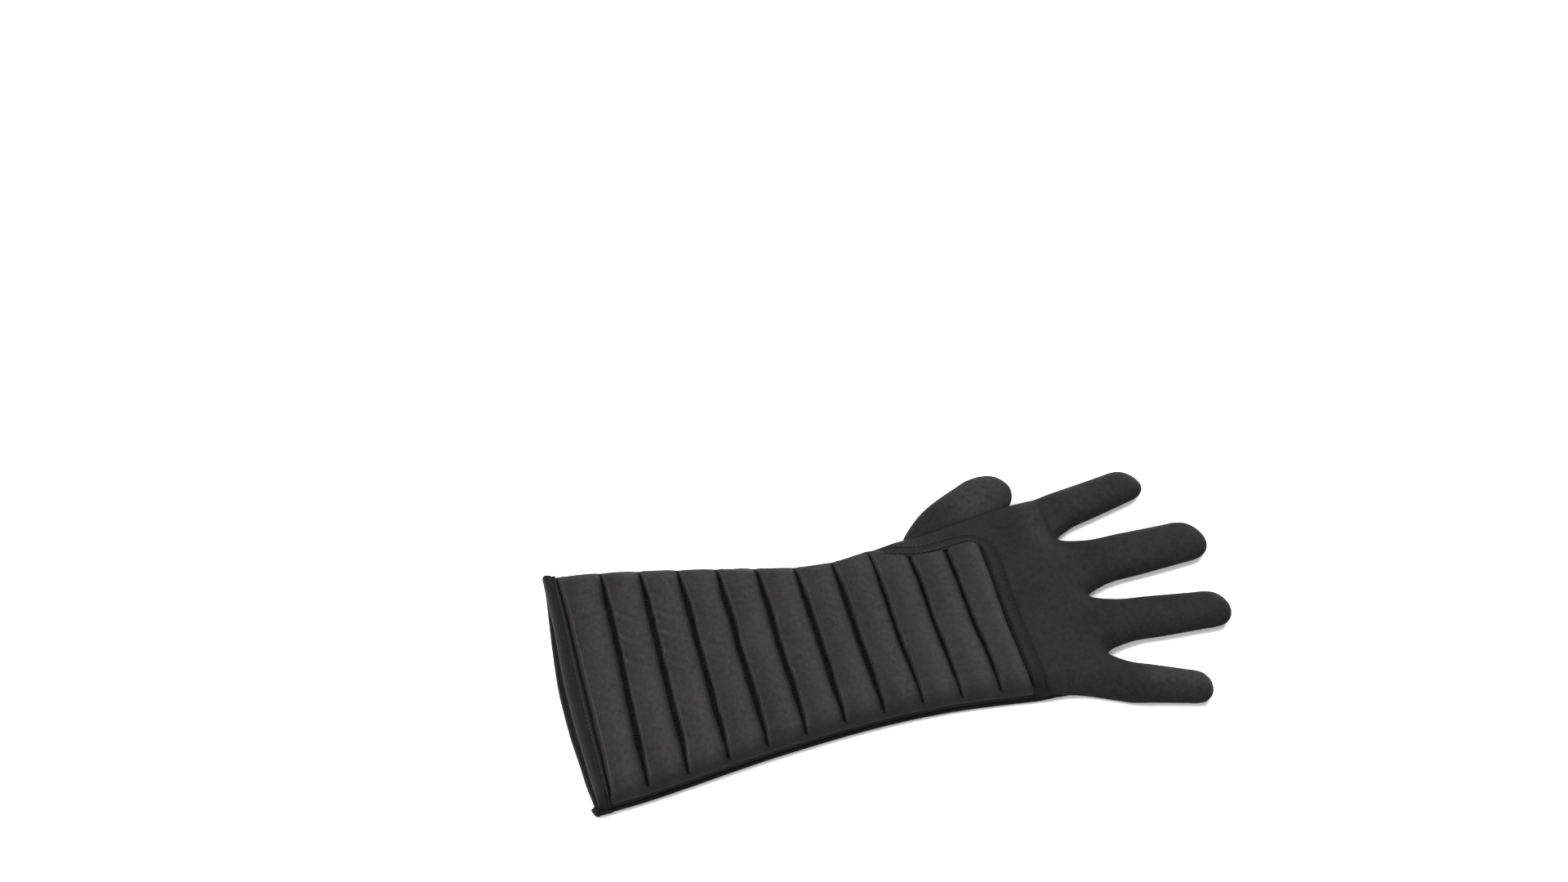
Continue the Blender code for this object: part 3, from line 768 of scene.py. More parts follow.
def main_regions():
    """The parts of the plan that become pieces: {name: (first, last) index on the outline}."""
    spans = {}
    for finger in FINGERS:
        for label, s in (("base", ROOT_LINE), ("tip", PIECE_LINE)):
            first = nearest(OUTLINE, finger.place(s, -finger.half(s)))
            last = nearest(OUTLINE, finger.place(s, finger.half(s)))
            spans[f"{finger.name}_{label}"] = (first, last)
    first = nearest(OUTLINE, np.array([WRIST_LINE, edge_y(WRIST_LINE, False)]))
    last = nearest(OUTLINE, np.array([WRIST_LINE, edge_y(WRIST_LINE, True)]))
    spans["hand"] = (first, last)
    return spans


def build_surfaces(plan, triangles, labels, top, bottom, names, make):
    """Makes the back and palm piece of every region from one closed surface, so that shading runs on."""
    count = len(plan)
    rim = np.isclose(top, bottom, atol=1e-4)
    both = np.vstack([np.column_stack([plan, top]), np.column_stack([plan, bottom])])
    lower = triangles[:, ::-1] + count
    lower_shared = np.where(rim[lower - count], lower - count, lower)
    normals = vertex_normals(both, np.vstack([triangles, lower_shared]))
    normals[count:][rim] = normals[:count][rim]
    for name in names:
        here = triangles[labels == name]
        if not len(here):
            continue
        for side, faces, shift in (("back", here, 0), ("palm", here[:, ::-1], count)):
            used, index = np.unique(faces, return_inverse=True)
            make(name, side, both[used + shift], index.reshape(-1, 3), normals[used + shift], plan[used])


# A sheet's cutting margin, and the least share of its rectangle that counts as cloth.
SHEET_SPARE = 1.5


def declare_sheet(piece, points):
    """Works out the size of a sheet cut to the rectangle round a panel's plan, grown to the plan's own area;
    the size is not used.
    """
    area = sum(polygon.area for polygon in piece.data.polygons)
    size = (np.ptp(points, axis=0)[:2] + SHEET_SPARE) * TO_M
    share = area / (size[0] * size[1])
    size *= max(1.0, share) ** 0.5 + 1e-4


def attach(piece, name):
    """Makes a piece of cloth follow the hand's body if it belongs to the hand; every other piece is fixed
    where it lies.
    """
    if name == "gauntlet":
        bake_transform(piece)
        return
    if name == "hand":
        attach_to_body(piece, "hand")
        return
    digit_name, part = name.split("_")
    digit = THUMB if digit_name == "thumb" else next(f for f in FINGERS if f.name == digit_name)
    if part == "base":
        spans, bodies = (ROOT_LINE, ROOT_ZONE), ("hand", f"{digit_name}_base")
    else:
        spans = (digit.knuckle - KNUCKLE_ZONE, digit.knuckle + KNUCKLE_ZONE)
        bodies = (f"{digit_name}_base", f"{digit_name}_tip")
    start, end = (tuple(TO_M * digit.place(s, 0)) + (0.0,) for s in spans)
    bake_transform(piece)
    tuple(start)
    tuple(end)


# Width of the painted shade along the cloth's rims, and the painted light on each finger from the little
# finger on.
PAINTED_SHADE_RIM = 2.6
FINGER_PAINTED_LIGHT = (0.9, 0.0, 0.15, 0.25)


def hand_tones(plan, side):
    """(painted light, painted shade): painted light on the paler fold beside the index root and along the
    fingers, painted shade in the crease beside it, along the rims of the cloth and where the hand lies on the
    thumb.
    """
    rim = distance(plan, RIM)
    s, w = INDEX.local(plan).T
    across = 1 - smoothstep(np.abs(w + 3), 13, 20)
    line = s + 4.9 - 0.16 * w - 0.6 * np.sin(w / 6)
    wear = 0.55 * hump(line, -9, 6) * across
    for digit, amount in zip(FINGERS, FINGER_PAINTED_LIGHT):
        s, w = digit.local(plan).T
        half = digit.root_half
        wear = np.maximum(wear, amount * smoothstep(s, 6, 22) * hump(w, 0.5 * half, half))
    deep = 0.30 * (1 - smoothstep(rim, 0, PAINTED_SHADE_RIM)) * (1 - over_thumb(*plan.T))
    deep = np.maximum(deep, 0.14 * over_thumb(*plan.T))
    return wear, np.maximum(deep, 0.5 * hump(line, 0, 1.3) * across)


def panel_maker(tones):
    """A function that makes one panel of smooth cloth, with its painted light and painted shade given by
    tones(plan, side).
    """
    def make_panel(name, side, points, faces, normals, plan):
        wear, deep = tones(plan, side)
        piece = new_piece(f"{name}_{side}", points, faces, SMOOTH, normals, {"wear": wear, "deep": deep})
        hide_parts(f"{name}_{side}" + ("_panel" if name in ("hand", "gauntlet") else ""))
        declare_sheet(piece, points)
        attach(piece, name)
    return make_panel


def build_smooth_cloth():
    spans = main_regions()
    plan, triangles, middle, rim = meshed(OUTLINE, RIM, spans.values())
    labels = np.full(len(triangles), "gauntlet", dtype="U16")
    labels[inside(middle, OUTLINE[spans["hand"][0]:spans["hand"][1] + 1])] = "hand"
    for name, (i, j) in spans.items():
        if name != "hand":
            labels[inside(middle, OUTLINE[i:j + 1])] = name
    top = top_height(*plan.T, rim)
    bottom = bottom_height(*plan.T, rim)
    build_surfaces(plan, triangles, labels, top, bottom, ["gauntlet", *spans], panel_maker(hand_tones))
    build_lining(plan, triangles, labels, rim, ["gauntlet", *spans])


def build_lining(plan, triangles, labels, rim, names):
    """The lining of the gauntlet, hand and fingers, a little smaller than the outer cloth."""
    low = seam_height(*plan.T)
    inner = np.maximum(rim - LINING_INSET, 0)
    top = low + LINING_SHARE * (top_height(*plan.T, inner) - low)
    bottom = low + LINING_SHARE * (bottom_height(*plan.T, inner) - low)
    sleeves(plan, triangles, labels, rim, names, top, bottom)


def sleeves(plan, triangles, labels, rim, names, top, bottom):
    """A flat sleeve of lining for every region, between the two heights."""
    kept = (rim[triangles] > LINING_INSET - 0.12).all(1)
    kept &= (plan[triangles, 0] > mouth_x(plan[triangles, 1]) + LINING_SETBACK).all(1)
    for name in names:
        here = triangles[kept & (labels == name)]
        used, index = np.unique(here, return_inverse=True)
        index = index.reshape(-1, 3)
        upper = np.column_stack([plan[used], top[used]])
        lower = np.column_stack([plan[used], bottom[used]])
        points = np.vstack([upper, lower])
        faces = np.vstack([index, index[:, ::-1] + len(used)])
        make_lining(name, points, faces)


def make_lining(name, points, faces):
    piece = new_piece(f"{name}_lining", points, faces, LINING)
    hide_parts(f"{name}_lining")
    attach(piece, name)


build_smooth_cloth()

# ---------------------------------------------------------------- the quilted back

# The CAD's grooves have this half width; the sewn ones follow groove_half().
GROOVE_HALF = 1.5
TAPE_CORNER = 11.5
TAPE_TAPER = 15.0
# Height of the ribs' filling over the back, less the crown that each rib has, and of the cloth under it.
PAD = RIB_TOP - BACK_TOP - 0.9
UNDER_PAD = 0.5
# Half the width of the sewn grooves: of the first ones and of those on the hand.
GROOVES_WIDE, GROOVES_NARROW, LAST_WIDE = 1.70, 1.15, 7
QUILT_CLOTH, TAPE_CLOTH = 0.8, 0.9
# Columns of the quilt's cloth on every rib, as places from 0 to RIB_RUN.
RIB_STOPS = (0, 0.7, 1.1, 1.35, 1.6, 1.85, 2.1, 2.4, 2.8, 3.4, 4.6, 6.6, 9.0, 11.6, 14.0, 15.8, 17.0, 17.8,
             18.5, 19.0, 19.4, 19.8, 20.2, 20.8)
RIB_RUN = 21.6
ROWS = 230
LADDER_PITCH, LADDER_RADIUS = 1.55, 0.26


def side_line(node, x_way, shift):
    """x = offset + slope * y along a straight side of a rib, moved by shift."""
    a, b = corner(node, x_way, 1), corner(node, x_way, -1)
    slope = (a[0] - b[0]) / (a[1] - b[1])
    return b[0] + shift - slope * b[1], slope


GROOVES = list(np.linspace(side_line("quilt_rib_02", -1, -GROOVE_HALF),
                           side_line("quilt_rib_11", -1, -GROOVE_HALF), 10))
TAPE_LO, TAPE_HI = (np.array(v) / TO_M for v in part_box("quilt_end_binding"))
# Half the tape's width, and how much wider it lies loose before its corner.
TAPE_HALF = 4.0
TAPE_SLACK = 1.3
TAPE_X = TAPE_HI[0] - TAPE_HALF
TAPE_TOP_Y = corner("quilt_end_binding", 1, 1)[1] - TAPE_HALF + 4.4
TAPE_START_X = TAPE_LO[0] - 6
# How the tape wanders on the thumb side: (from its start, distance from its straight run).
TAPE_BOW = ((12.7, 0.7), (23.7, -2.2), (35.7, -2.7), (47.7, -1.2))


def tape_line():
    """Middle line of the tape: out of the thumb-side seam, along it, round the corner, to the other seam."""
    start = np.array([TAPE_START_X, edge_y(TAPE_START_X, True) - 0.4])
    corner_x = TAPE_X - TAPE_CORNER
    points = [start]
    for x, drop in TAPE_BOW:
        points.append((start[0] + x, TAPE_TOP_Y + drop))
    points.append((corner_x - 2, TAPE_TOP_Y - 0.1))
    for degrees in (90, 70, 50, 30, 10):
        turn = math.radians(degrees)
        points.append((corner_x + TAPE_CORNER * math.cos(turn),
                       TAPE_TOP_Y - TAPE_CORNER * (1 - math.sin(turn))))
    end = edge_y(TAPE_X, False) - 0.2
    for y in np.linspace(TAPE_TOP_Y - TAPE_CORNER - 6, end, 9):
        points.append((TAPE_X, y))
    return smooth_line(points, 0.8)


TAPE = tape_line()


def wave(y, number):
    """How far a sewn groove wanders from its straight line."""
    return 0.40 * lattice_noise(y, 0 * y, 17, 40 + number) + 0.20 * lattice_noise(y, 0 * y, 6, 60 + number)


def channel_x(number, y):
    """x of the lines between which the ribs lie: the hem's ditch, the ten grooves, the tape."""
    y = np.asarray(y, float)
    if number == 0:
        return mouth_x(y) + HEM_WIDTH + 0.2
    if number == len(GROOVES) + 1:
        return TAPE_X + 0 * y
    offset, slope = GROOVES[number - 1]
    return offset + slope * y + wave(y, number)


def quilt_limit(x):
    """The quilt's thumb-side edge: the glove's own edge, and then the middle of the tape."""
    along = TAPE[: np.argmax(TAPE[:, 0])]
    under_tape = np.interp(x, along[:, 0], along[:, 1], left=1e3)
    return np.minimum(edge_y(x, True) - 0.5, under_tape)


def rib_sides(x, y):
    """The number of the rib at each place, and x of that rib's left and right sides."""
    number = np.zeros(np.shape(x), int)
    for k in range(1, len(GROOVES) + 1):
        number = np.where(x > channel_x(k, y), k, number)
    left, right = np.zeros(np.shape(x)), np.zeros(np.shape(x))
    for k in range(len(GROOVES) + 1):
        here = number == k
        left[here], right[here] = channel_x(k, y[here]), channel_x(k + 1, y[here])
    return number, left, right


# Creases across the ribs: (rib, distance from the thumb side, height).
RIDGES = ((1, 31, 0.95), (1, 47, 0.90), (1, 63, 0.65), (1, 80, 0.35), (2, 34, 1.20), (2, 47, 1.30),
          (2, 68, 1.10), (2, 96, 0.45), (3, 60, 0.50), (4, 40, 0.25))


def rib_wrinkles(x, y, number, a):
    """Ridges slanting over the second and third ribs, and softer ones elsewhere."""
    top = edge_y(MOUTH_THUMB_X + 45, True)
    total = 0.0
    for rib, drop, height in RIDGES:
        off = y - (top - drop - 0.75 * a + 0.02 * (a - 8) ** 2)
        ridge = hump(off, 0, 1.15 + 0.05 * a) - 0.45 * hump(off, 3.6, 2.6) - 0.25 * hump(off, -3.2, 2.0)
        total = total + np.where(number == rib, height, 0) * ridge * (1 - 0.5 * smoothstep(a, 9, 19))
    crinkle = 0.10 * lattice_noise(x * 0.9, y, 2.2, 15) * hump(a, 13, 4)
    crinkle = crinkle * hump(y, edge_y(x, False) / 2 - 6, 16)
    fold = 0.22 * hump(a, 12.5, 2.2) * (0.6 + 0.4 * lattice_noise(y, 0 * y, 22, 5))
    total = total + np.where(number == 0, fold + crinkle, 0)
    return total


def groove_half(number, y, rim):
    """Half the width of a sewn groove: it narrows towards both its ends."""
    full = np.where(number <= LAST_WIDE, GROOVES_WIDE, GROOVES_NARROW)
    ends = smoothstep(rim, 3, 30)
    return full * (0.42 + 0.58 * ends) + 0.14 * lattice_noise(y, y * 0 + number, 9, 33)


def quilt_height(x, y, rim):
    """Top of the quilted back."""
    number, left, right = rib_sides(x, y)
    a, b = x - left, right - x
    b = np.where(number == len(GROOVES), b - TAPE_HALF + 0.4, b)
    side = np.minimum(rim, np.minimum(y - edge_y(x, False), quilt_limit(x) + 0.5 - y) * 0.97)
    cover = TAPE_HALF * smoothstep(x, TAPE_START_X - 1, TAPE_START_X + TAPE_TAPER)
    under = quilt_limit(x) - y - cover + 0.6 + 40 * (1 - smoothstep(x, TAPE_START_X - 3, TAPE_START_X + 9))
    last = np.where(number == len(GROOVES), smoothstep(b, -0.5, 1.3), 1)
    left_half, right_half = groove_half(number, y, rim), groove_half(number + 1, y, rim)
    rise = smoothstep(a, left_half - 0.45, left_half + 0.75)
    fade = 1 - (1 - np.clip((b - right_half + 0.45) / 3.6, 0, 1)) ** 2.4
    sewn = smoothstep(rim, 1.2, 4.6)
    share = np.clip(a / np.maximum(a + b, 1), 0, 1)
    crown = 1 + 0.10 * np.sin(math.pi * share) + 0.09 * hump(a, 2.9, 0.8) + 0.05 * hump(share, 0.72, 0.2)
    body = crown * (1 - sewn * (1 - rise * fade))
    body = body * smoothstep(under, 0, 2.0) * last
    body = body * swell(np.maximum(side, 0), 3.8, 1.9)
    rough = 0.10 * layered_noise(x * 0.8, y * 0.5, 9, 81) + 0.05 * layered_noise(x, y, 2.6, 91)
    pucker = lattice_noise(y, x * 0.3, 2.7, 23) * 0.13 * hump(a, 2.4, 0.9)
    pucker = pucker + lattice_noise(y, x * 0.3, 3.3, 24) * 0.10 * hump(b, 3.2, 1.4)
    loose = (rib_wrinkles(x, y, number, a) + rough + pucker) * rise * fade * smoothstep(rim, 2, 6)
    teeth = np.cos(2 * math.pi * (y - 0.2 * x) / LADDER_PITCH)
    cross = 0.14 * teeth * hump(np.minimum(a, b), 2.0, 0.8) * sewn
    base = top_height(x, y, rim) + UNDER_PAD
    return base + PAD * body + loose * smoothstep(under, 2, 6) + cross


def rib_body(x, y, rim):
    """1 on the full part of the ribs, 0 in the grooves, at the border and under the tape."""
    height = quilt_height(x, y, rim) - top_height(x, y, rim) - UNDER_PAD
    return smoothstep(height / PAD, 0.5, 1.0)


def groove_shade_mask(x, y, rim):
    """1 at the bottom of the sewn grooves and of the hem's ditch, 0 on the ribs: where painted shade goes."""
    deep = np.zeros(np.shape(x))
    for k in range(len(GROOVES) + 1):
        half = groove_half(k, y, rim)
        deep = np.maximum(deep, 1 - smoothstep(np.abs(x - channel_x(k, y)), half - 0.6, half + 0.15))
    return deep * smoothstep(rim, 1.2, 3.6)


def cross_lines():
    """The quilt's columns: lines over the ribs, close together at the grooves."""
    columns = [(k, stop / RIB_RUN) for k in range(len(GROOVES) + 1) for stop in RIB_STOPS]
    return columns + [(len(GROOVES), 1.0)]


def column_x(column, y):
    k, share = column
    left, right = channel_x(k, y), channel_x(k + 1, y)
    return left + share * (right - left)


def column_span(column):
    """y where a column meets the little-finger edge and the thumb-side edge."""
    low, high = -60.0, 45.0
    for _ in range(12):
        low = 0.5 * low + 0.5 * (edge_y(column_x(column, low), False) + 0.5)
        high = 0.5 * high + 0.5 * quilt_limit(column_x(column, high))
    return float(low), float(high)


def quilt_plan():
    ends = np.array([0, 0.25, 0.55, 0.95, 1.45])
    columns = cross_lines()
    plan = np.empty((len(columns), ROWS + 2 * len(ends), 2))
    for i, column in enumerate(columns):
        low, high = column_span(column)
        middle = np.linspace(low + 2.0, high - 2.0, ROWS)
        y = np.r_[low + ends, middle, high - ends[::-1]]
        plan[i] = np.column_stack([column_x(column, y), y])
    return plan


def shell_points(top, thickness):
    """Closed shell under a grid of top points: (points, faces)."""
    rows, columns = top.shape[:2]
    upper = grid_faces(rows, columns)
    under = top.copy()
    under[..., 2] -= thickness
    count = rows * columns
    faces = list(upper) + [tuple(i + count for i in face[::-1]) for face in upper]
    border = [j for j in range(columns)] + [i * columns + columns - 1 for i in range(1, rows)]
    border += [(rows - 1) * columns + j for j in range(columns - 2, -1, -1)]
    border += [i * columns for i in range(rows - 2, 0, -1)]
    for i, j in zip(border, border[1:] + border[:1]):
        faces.append((j, i, i + count, j + count))
    return np.vstack([top.reshape(-1, 3), under.reshape(-1, 3)]), faces


# The settling cloth: its columns on a rib, its rows and frames, and how much of its lift is kept.
SIM_STOPS = (0, 0.12, 0.28, 0.46, 0.64, 0.80, 0.91)
SIM_ROWS = 56
SIM_FRAMES = 20
MOST_PUFF = 0.5
PUFF_SHARE = 0.5
SIM_ARCH = 1.4
# Cloth pressed up from below by its filling, and held where it is sewn.
PRESSED = {"vertex_group_mass": "sewn", "use_pressure": True, "uniform_pressure_force": 4.0,
           "shrink_min": -0.02, "bending_stiffness": 0.05, "quality": 6}


def filled_cloth():
    """The quilt's top as cloth, sewn down along the grooves and round its border, over its filling."""
    columns = [(k, share) for k in range(len(GROOVES) + 1) for share in SIM_STOPS] + [(len(GROOVES), 1.0)]
    grid = np.empty((len(columns), SIM_ROWS, 3))
    for i, column in enumerate(columns):
        y = np.linspace(*column_span(column), SIM_ROWS)
        rise = SIM_ARCH * math.sin(math.pi * column[1])
        x = column_x(column, y)
        grid[i] = np.column_stack([x, y, BACK_TOP + rise + 0.03 * lattice_noise(x, y, 4, 71)])
    mesh = bpy.data.meshes.new("filled_cloth")
    faces = [face[::-1] for face in grid_faces(*grid.shape[:2])]
    mesh.from_pydata((grid.reshape(-1, 3) * TO_M).tolist(), [], faces)
    obj = bpy.data.objects.new("filled_cloth", mesh)
    bpy.context.scene.collection.objects.link(obj)
    sewn = np.zeros(grid.shape[:2], bool)
    sewn[::len(SIM_STOPS)] = sewn[:, :1] = sewn[:, -1:] = sewn[-1] = True
    obj.vertex_groups.new(name="sewn").add([int(i) for i in np.flatnonzero(sewn)], 1.0, "REPLACE")
    return obj, grid


def settle_quilt():
    """How far the filling lifts and wrinkles the cloth, on a coarse grid of the quilt."""
    obj, grid = filled_cloth()
    cloth = obj.modifiers.new("cloth", "CLOTH")
    for key, value in PRESSED.items():
        setattr(cloth.settings, key, value)
    cloth.settings.effector_weights.gravity = 0
    cloth.point_cache.frame_end = SIM_FRAMES
    scene = bpy.context.scene
    for step in range(1, SIM_FRAMES + 1):
        scene.frame_set(step)
    evaluated = obj.evaluated_get(bpy.context.evaluated_depsgraph_get())
    flat = np.empty(len(evaluated.data.vertices) * 3, np.float32)
    evaluated.data.vertices.foreach_get("co", flat)
    scene.frame_set(1)
    bpy.data.objects.remove(obj)
    lift = flat.reshape(grid.shape).astype(float)[..., 2] / TO_M - grid[..., 2]
    lift = np.clip(lift - np.median(lift), -MOST_PUFF, MOST_PUFF)
    return np.where(np.isfinite(lift), lift, 0)


def puff_of(plan, lift):
    """The settled lift at the points of the fine grid, between the points of the coarse one."""
    columns = cross_lines()
    stops = np.array(SIM_STOPS + (1.0,))
    at = [k * len(SIM_STOPS) + np.interp(share, stops, np.arange(len(stops))) for k, share in columns]
    at = np.array(at)
    i = np.minimum(at.astype(int), len(lift) - 2)
    s = (at - i)[:, None]
    low, high = plan[:, :1, 1], plan[:, -1:, 1]
    row = (plan[..., 1] - low) / (high - low) * (lift.shape[1] - 1)
    j = np.clip(row.astype(int), 0, lift.shape[1] - 2)
    t = smoothstep(row - j, 0, 1)
    i = np.broadcast_to(i[:, None], j.shape)
    first = lift[i, j] * (1 - t) + lift[i, j + 1] * t
    second = lift[i + 1, j] * (1 - t) + lift[i + 1, j + 1] * t
    return first * (1 - s) + second * s


def build_quilt():
    plan = quilt_plan()
    flat = plan.reshape(-1, 2)
    rim = distance(flat, RIM)
    z = quilt_height(*flat.T, rim).reshape(plan.shape[:2])
    lift = settle_quilt()
    z = z + PUFF_SHARE * puff_of(plan, lift) * rib_body(*flat.T, rim).reshape(z.shape)
    top = np.dstack([plan, z])[:, ::-1]
    points, faces = shell_points(top, QUILT_CLOTH)
    flat = top[..., :2].reshape(-1, 2)
    x, y = flat.T
    # Painted shade in the grooves and towards the little-finger border, and a painted highlight along the
    # right part of every rib.
    border = 0.62 * (1 - smoothstep(y - edge_y(x, False), 0.3, 8.0))
    deep = np.maximum(groove_shade_mask(x, y, distance(flat, RIM)), border)
    _, left, right = rib_sides(x, y)
    painted_light_share = hump((x - left) / (right - left), 0.66, 0.22)
    piece = new_piece("quilted_back", points, faces, QUILT,
                      extras={"deep": np.tile(deep, 2), "wear": np.tile(0.55 * painted_light_share, 2)})
    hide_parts(*[f"quilt_rib_{number:02d}" for number in range(1, 12)])
    attach(piece, "gauntlet")


build_quilt()


def plain_piece(name, skin, material, slot, body, *nodes, extras=None):
    """A piece from a skin, (points, faces), that follows its body and stands for the nodes."""
    piece = new_piece(name, *skin, material, extras=extras)
    if nodes:
        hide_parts(*nodes)
    attach(piece, body)


def ladder_threads():
    """The threads that cross every groove like the rungs of a ladder."""
    shares = np.array([-1, -0.7, 0, 0.7, 1])
    rungs = []
    for number in range(1, len(GROOVES) + 1):
        low, high = column_span((number, 0.0))
        high -= 3.4 if number <= LAST_WIDE else TAPE_HALF + 1.0
        y = np.arange(low + 2.0, high, LADDER_PITCH)
        tilt = 0.12 + 0.12 * RNG.uniform(-1, 1, len(y))
        rim = distance(np.column_stack([channel_x(number, y), y]), RIM)
        across = groove_half(number, y, rim)[:, None] * shares
        x = channel_x(number, y)[:, None] + across
        rungs.append(np.dstack([x, y[:, None] + tilt[:, None] * across]))
    rungs = np.vstack(rungs)
    middle = rungs[:, 2]
    z = quilt_height(*middle.T, distance(middle, RIM))
    lines = np.dstack([rungs, z[:, None] + np.array([0.40, 0.62, 0.42, 0.66, 0.50])])
    skin = joined([tube(line, LADDER_RADIUS, 6) for line in lines])
    plain_piece("ladder_threads", skin, LADDER, "seam_piping", "gauntlet")


ladder_threads()

# ---------------------------------------------------------------- the tape round the quilt's end


# Lines along the tape, as shares of its half width: -1 at the quilt, 1 at the plain back.
TAPE_SHARES = np.array([-1, -0.93, -0.8, -0.68, -0.6, -0.5, -0.2, 0.1, 0.4, 0.52, 0.6, 0.68, 0.76, 0.84,
                        0.92, 1])
STITCH_SHARES = (-0.66, 0.70)


def tape_frame():
    """The tape's middle line, its outward directions and its half widths."""
    line = TAPE
    along = np.gradient(line, axis=0)
    along /= np.linalg.norm(along, axis=1, keepdims=True)
    outward = np.column_stack([-along[:, 1], along[:, 0]])
    run = lengths_along(line)
    wide = TAPE_SLACK * (1 - smoothstep(line[:, 0], TAPE_X - 22, TAPE_X - 2)) * (line[:, 1] > TAPE_TOP_Y - 9)
    wide = wide * smoothstep(run, 0, TAPE_TAPER)
    width = (TAPE_HALF + wide) * smoothstep(run, -4, TAPE_TAPER)
    return line + outward * wide[:, None], outward, width


def tape_height(x, y, across):
    """Height of the tape: it steps down from the end of the quilt to the plain back."""
    rim = distance(np.column_stack([x, y]), RIM)
    step = 0.9 * (1 - smoothstep(across, -0.9, 0.9))
    edge = 0.35 * hump(np.abs(across), 0.62, 0.12) - 0.25 * smoothstep(np.abs(across), 0.86, 1.0)
    return top_height(x, y, rim) + 0.75 + (step + edge) * smoothstep(rim, 0, 5)


def build_tape():
    line, outward, width = tape_frame()
    grid = np.empty((len(line), len(TAPE_SHARES), 3))
    for j, share in enumerate(TAPE_SHARES):
        plan = line + outward * (width * share)[:, None]
        z = tape_height(*plan.T, np.full(len(plan), share))
        z += 0.06 * lattice_noise(plan[:, 0], plan[:, 1], 5, 3)
        grid[:, j] = np.column_stack([plan, z])
    # Painted shade along the tape's outer edge and beside the piping at its inner edge.
    tape_edge_shade = 0.75 * smoothstep(TAPE_SHARES, 0.70, 0.96) + 0.35 * (1 - smoothstep(TAPE_SHARES, -1, -0.8))
    plain_piece("quilt_end_tape", shell_points(grid, TAPE_CLOTH), BINDING, "binding_tape", "hand",
                "quilt_end_binding", extras={"deep": np.tile(tape_edge_shade, 2 * len(line))})
    rows = []
    for share in STITCH_SHARES:
        plan = (line + outward * (width * share)[:, None])[10:-3]
        row = np.column_stack([plan, tape_height(*plan.T, np.full(len(plan), share)) + 0.02])
        rows.append(run_of_stitches(row, length=1.6, gap=1.0, radius=0.17))
    plain_piece("tape_stitches", joined(rows), THREAD, "seam_piping", "hand")
    inner = (line - outward * (width + 0.35)[:, None])[2:]
    inner = np.column_stack([inner, tape_height(*inner.T, np.full(len(inner), -0.9)) + 0.1])
    plain_piece("tape_piping", tube(inner, 0.6), PIPING, "seam_piping", "hand")


build_tape()

# ---------------------------------------------------------------- the mouth

# Points of the hems: (from the mouth line, share of the height from the seam, height above that).
BACK_SECTION = (
    (8.4, 0.75, 0), (5.0, 0.6, 0), (2.8, 0.4, 0), (1.9, 0.22, 0.1), (1.2, 0.16, 0.2), (0.75, 0.28, 0.3),
    (0.6, 0.52, 0.4), (0.8, 0.76, 0.6), (1.3, 0.92, 0.9), (2.1, 1, 1.25), (3.1, 1, 1.6), (4.3, 1, 1.75),
    (5.3, 1, 1.6), (5.85, 1, 1.15), (6.3, 1, 1.05), (6.7, 1, 1.45), (7.2, 1, 1.85), (7.75, 1, 1.65),
    (8.15, 1, 1.0), (8.5, 1, 0.3), (9.0, 1, -0.2))
PALM_SECTION = (
    (8.4, -0.5, 0), (5.0, -0.4, 0), (2.6, -0.2, 0), (1.2, 0, 0), (0.5, 0, 0.2), (0.0, -0.1, 0),
    (-0.2, -0.4, 0), (0.0, -0.7, 0), (0.6, -0.93, 0), (1.6, -1, 0), (3.0, -1, 0), (5.6, -1, 0),
    (7.2, -1, 0), (8.0, -1, 0.05), (8.5, -0.95, 0), (8.8, -0.85, 0))


def mouth_loft(section, shift, bulge, at_thumb=0.0):
    """A hem swept along the mouth through the points of its section."""
    y = np.linspace(edge_y(MOUTH_LITTLE_X, False) + 0.2, edge_y(MOUTH_THUMB_X, True) - 0.2, 150)
    share = (y - y[0]) / (y[-1] - y[0])
    middle = smoothstep(share, 0, 0.12) * (1 - smoothstep(share, 0.85, 1))
    pushed = shift + bulge * hump(share, 0.45, 0.34) * middle + at_thumb * smoothstep(share, 0.7, 1.0)
    grid = np.empty((len(y), len(section), 3))
    for j, (u, part, above) in enumerate(section):
        x = mouth_x(y) + u + pushed * (1 - smoothstep(u, 3, 9))
        x = x + 0.12 * lattice_noise(y, 0 * y, 17, 12) + 0.04 * lattice_noise(y, 0 * y, 4, 14)
        rim = distance(np.column_stack([x, y]), RIM)
        low = seam_height(x, y)
        full = top_height(x, y, rim) - low if part > 0 else low - 0.05
        z = low + full * part + above * swell(rim, 4.0, 2.0) + 0.06 * lattice_noise(x, y, 7, 17) * abs(part)
        grid[:, j] = np.column_stack([x, y, z])
    return grid


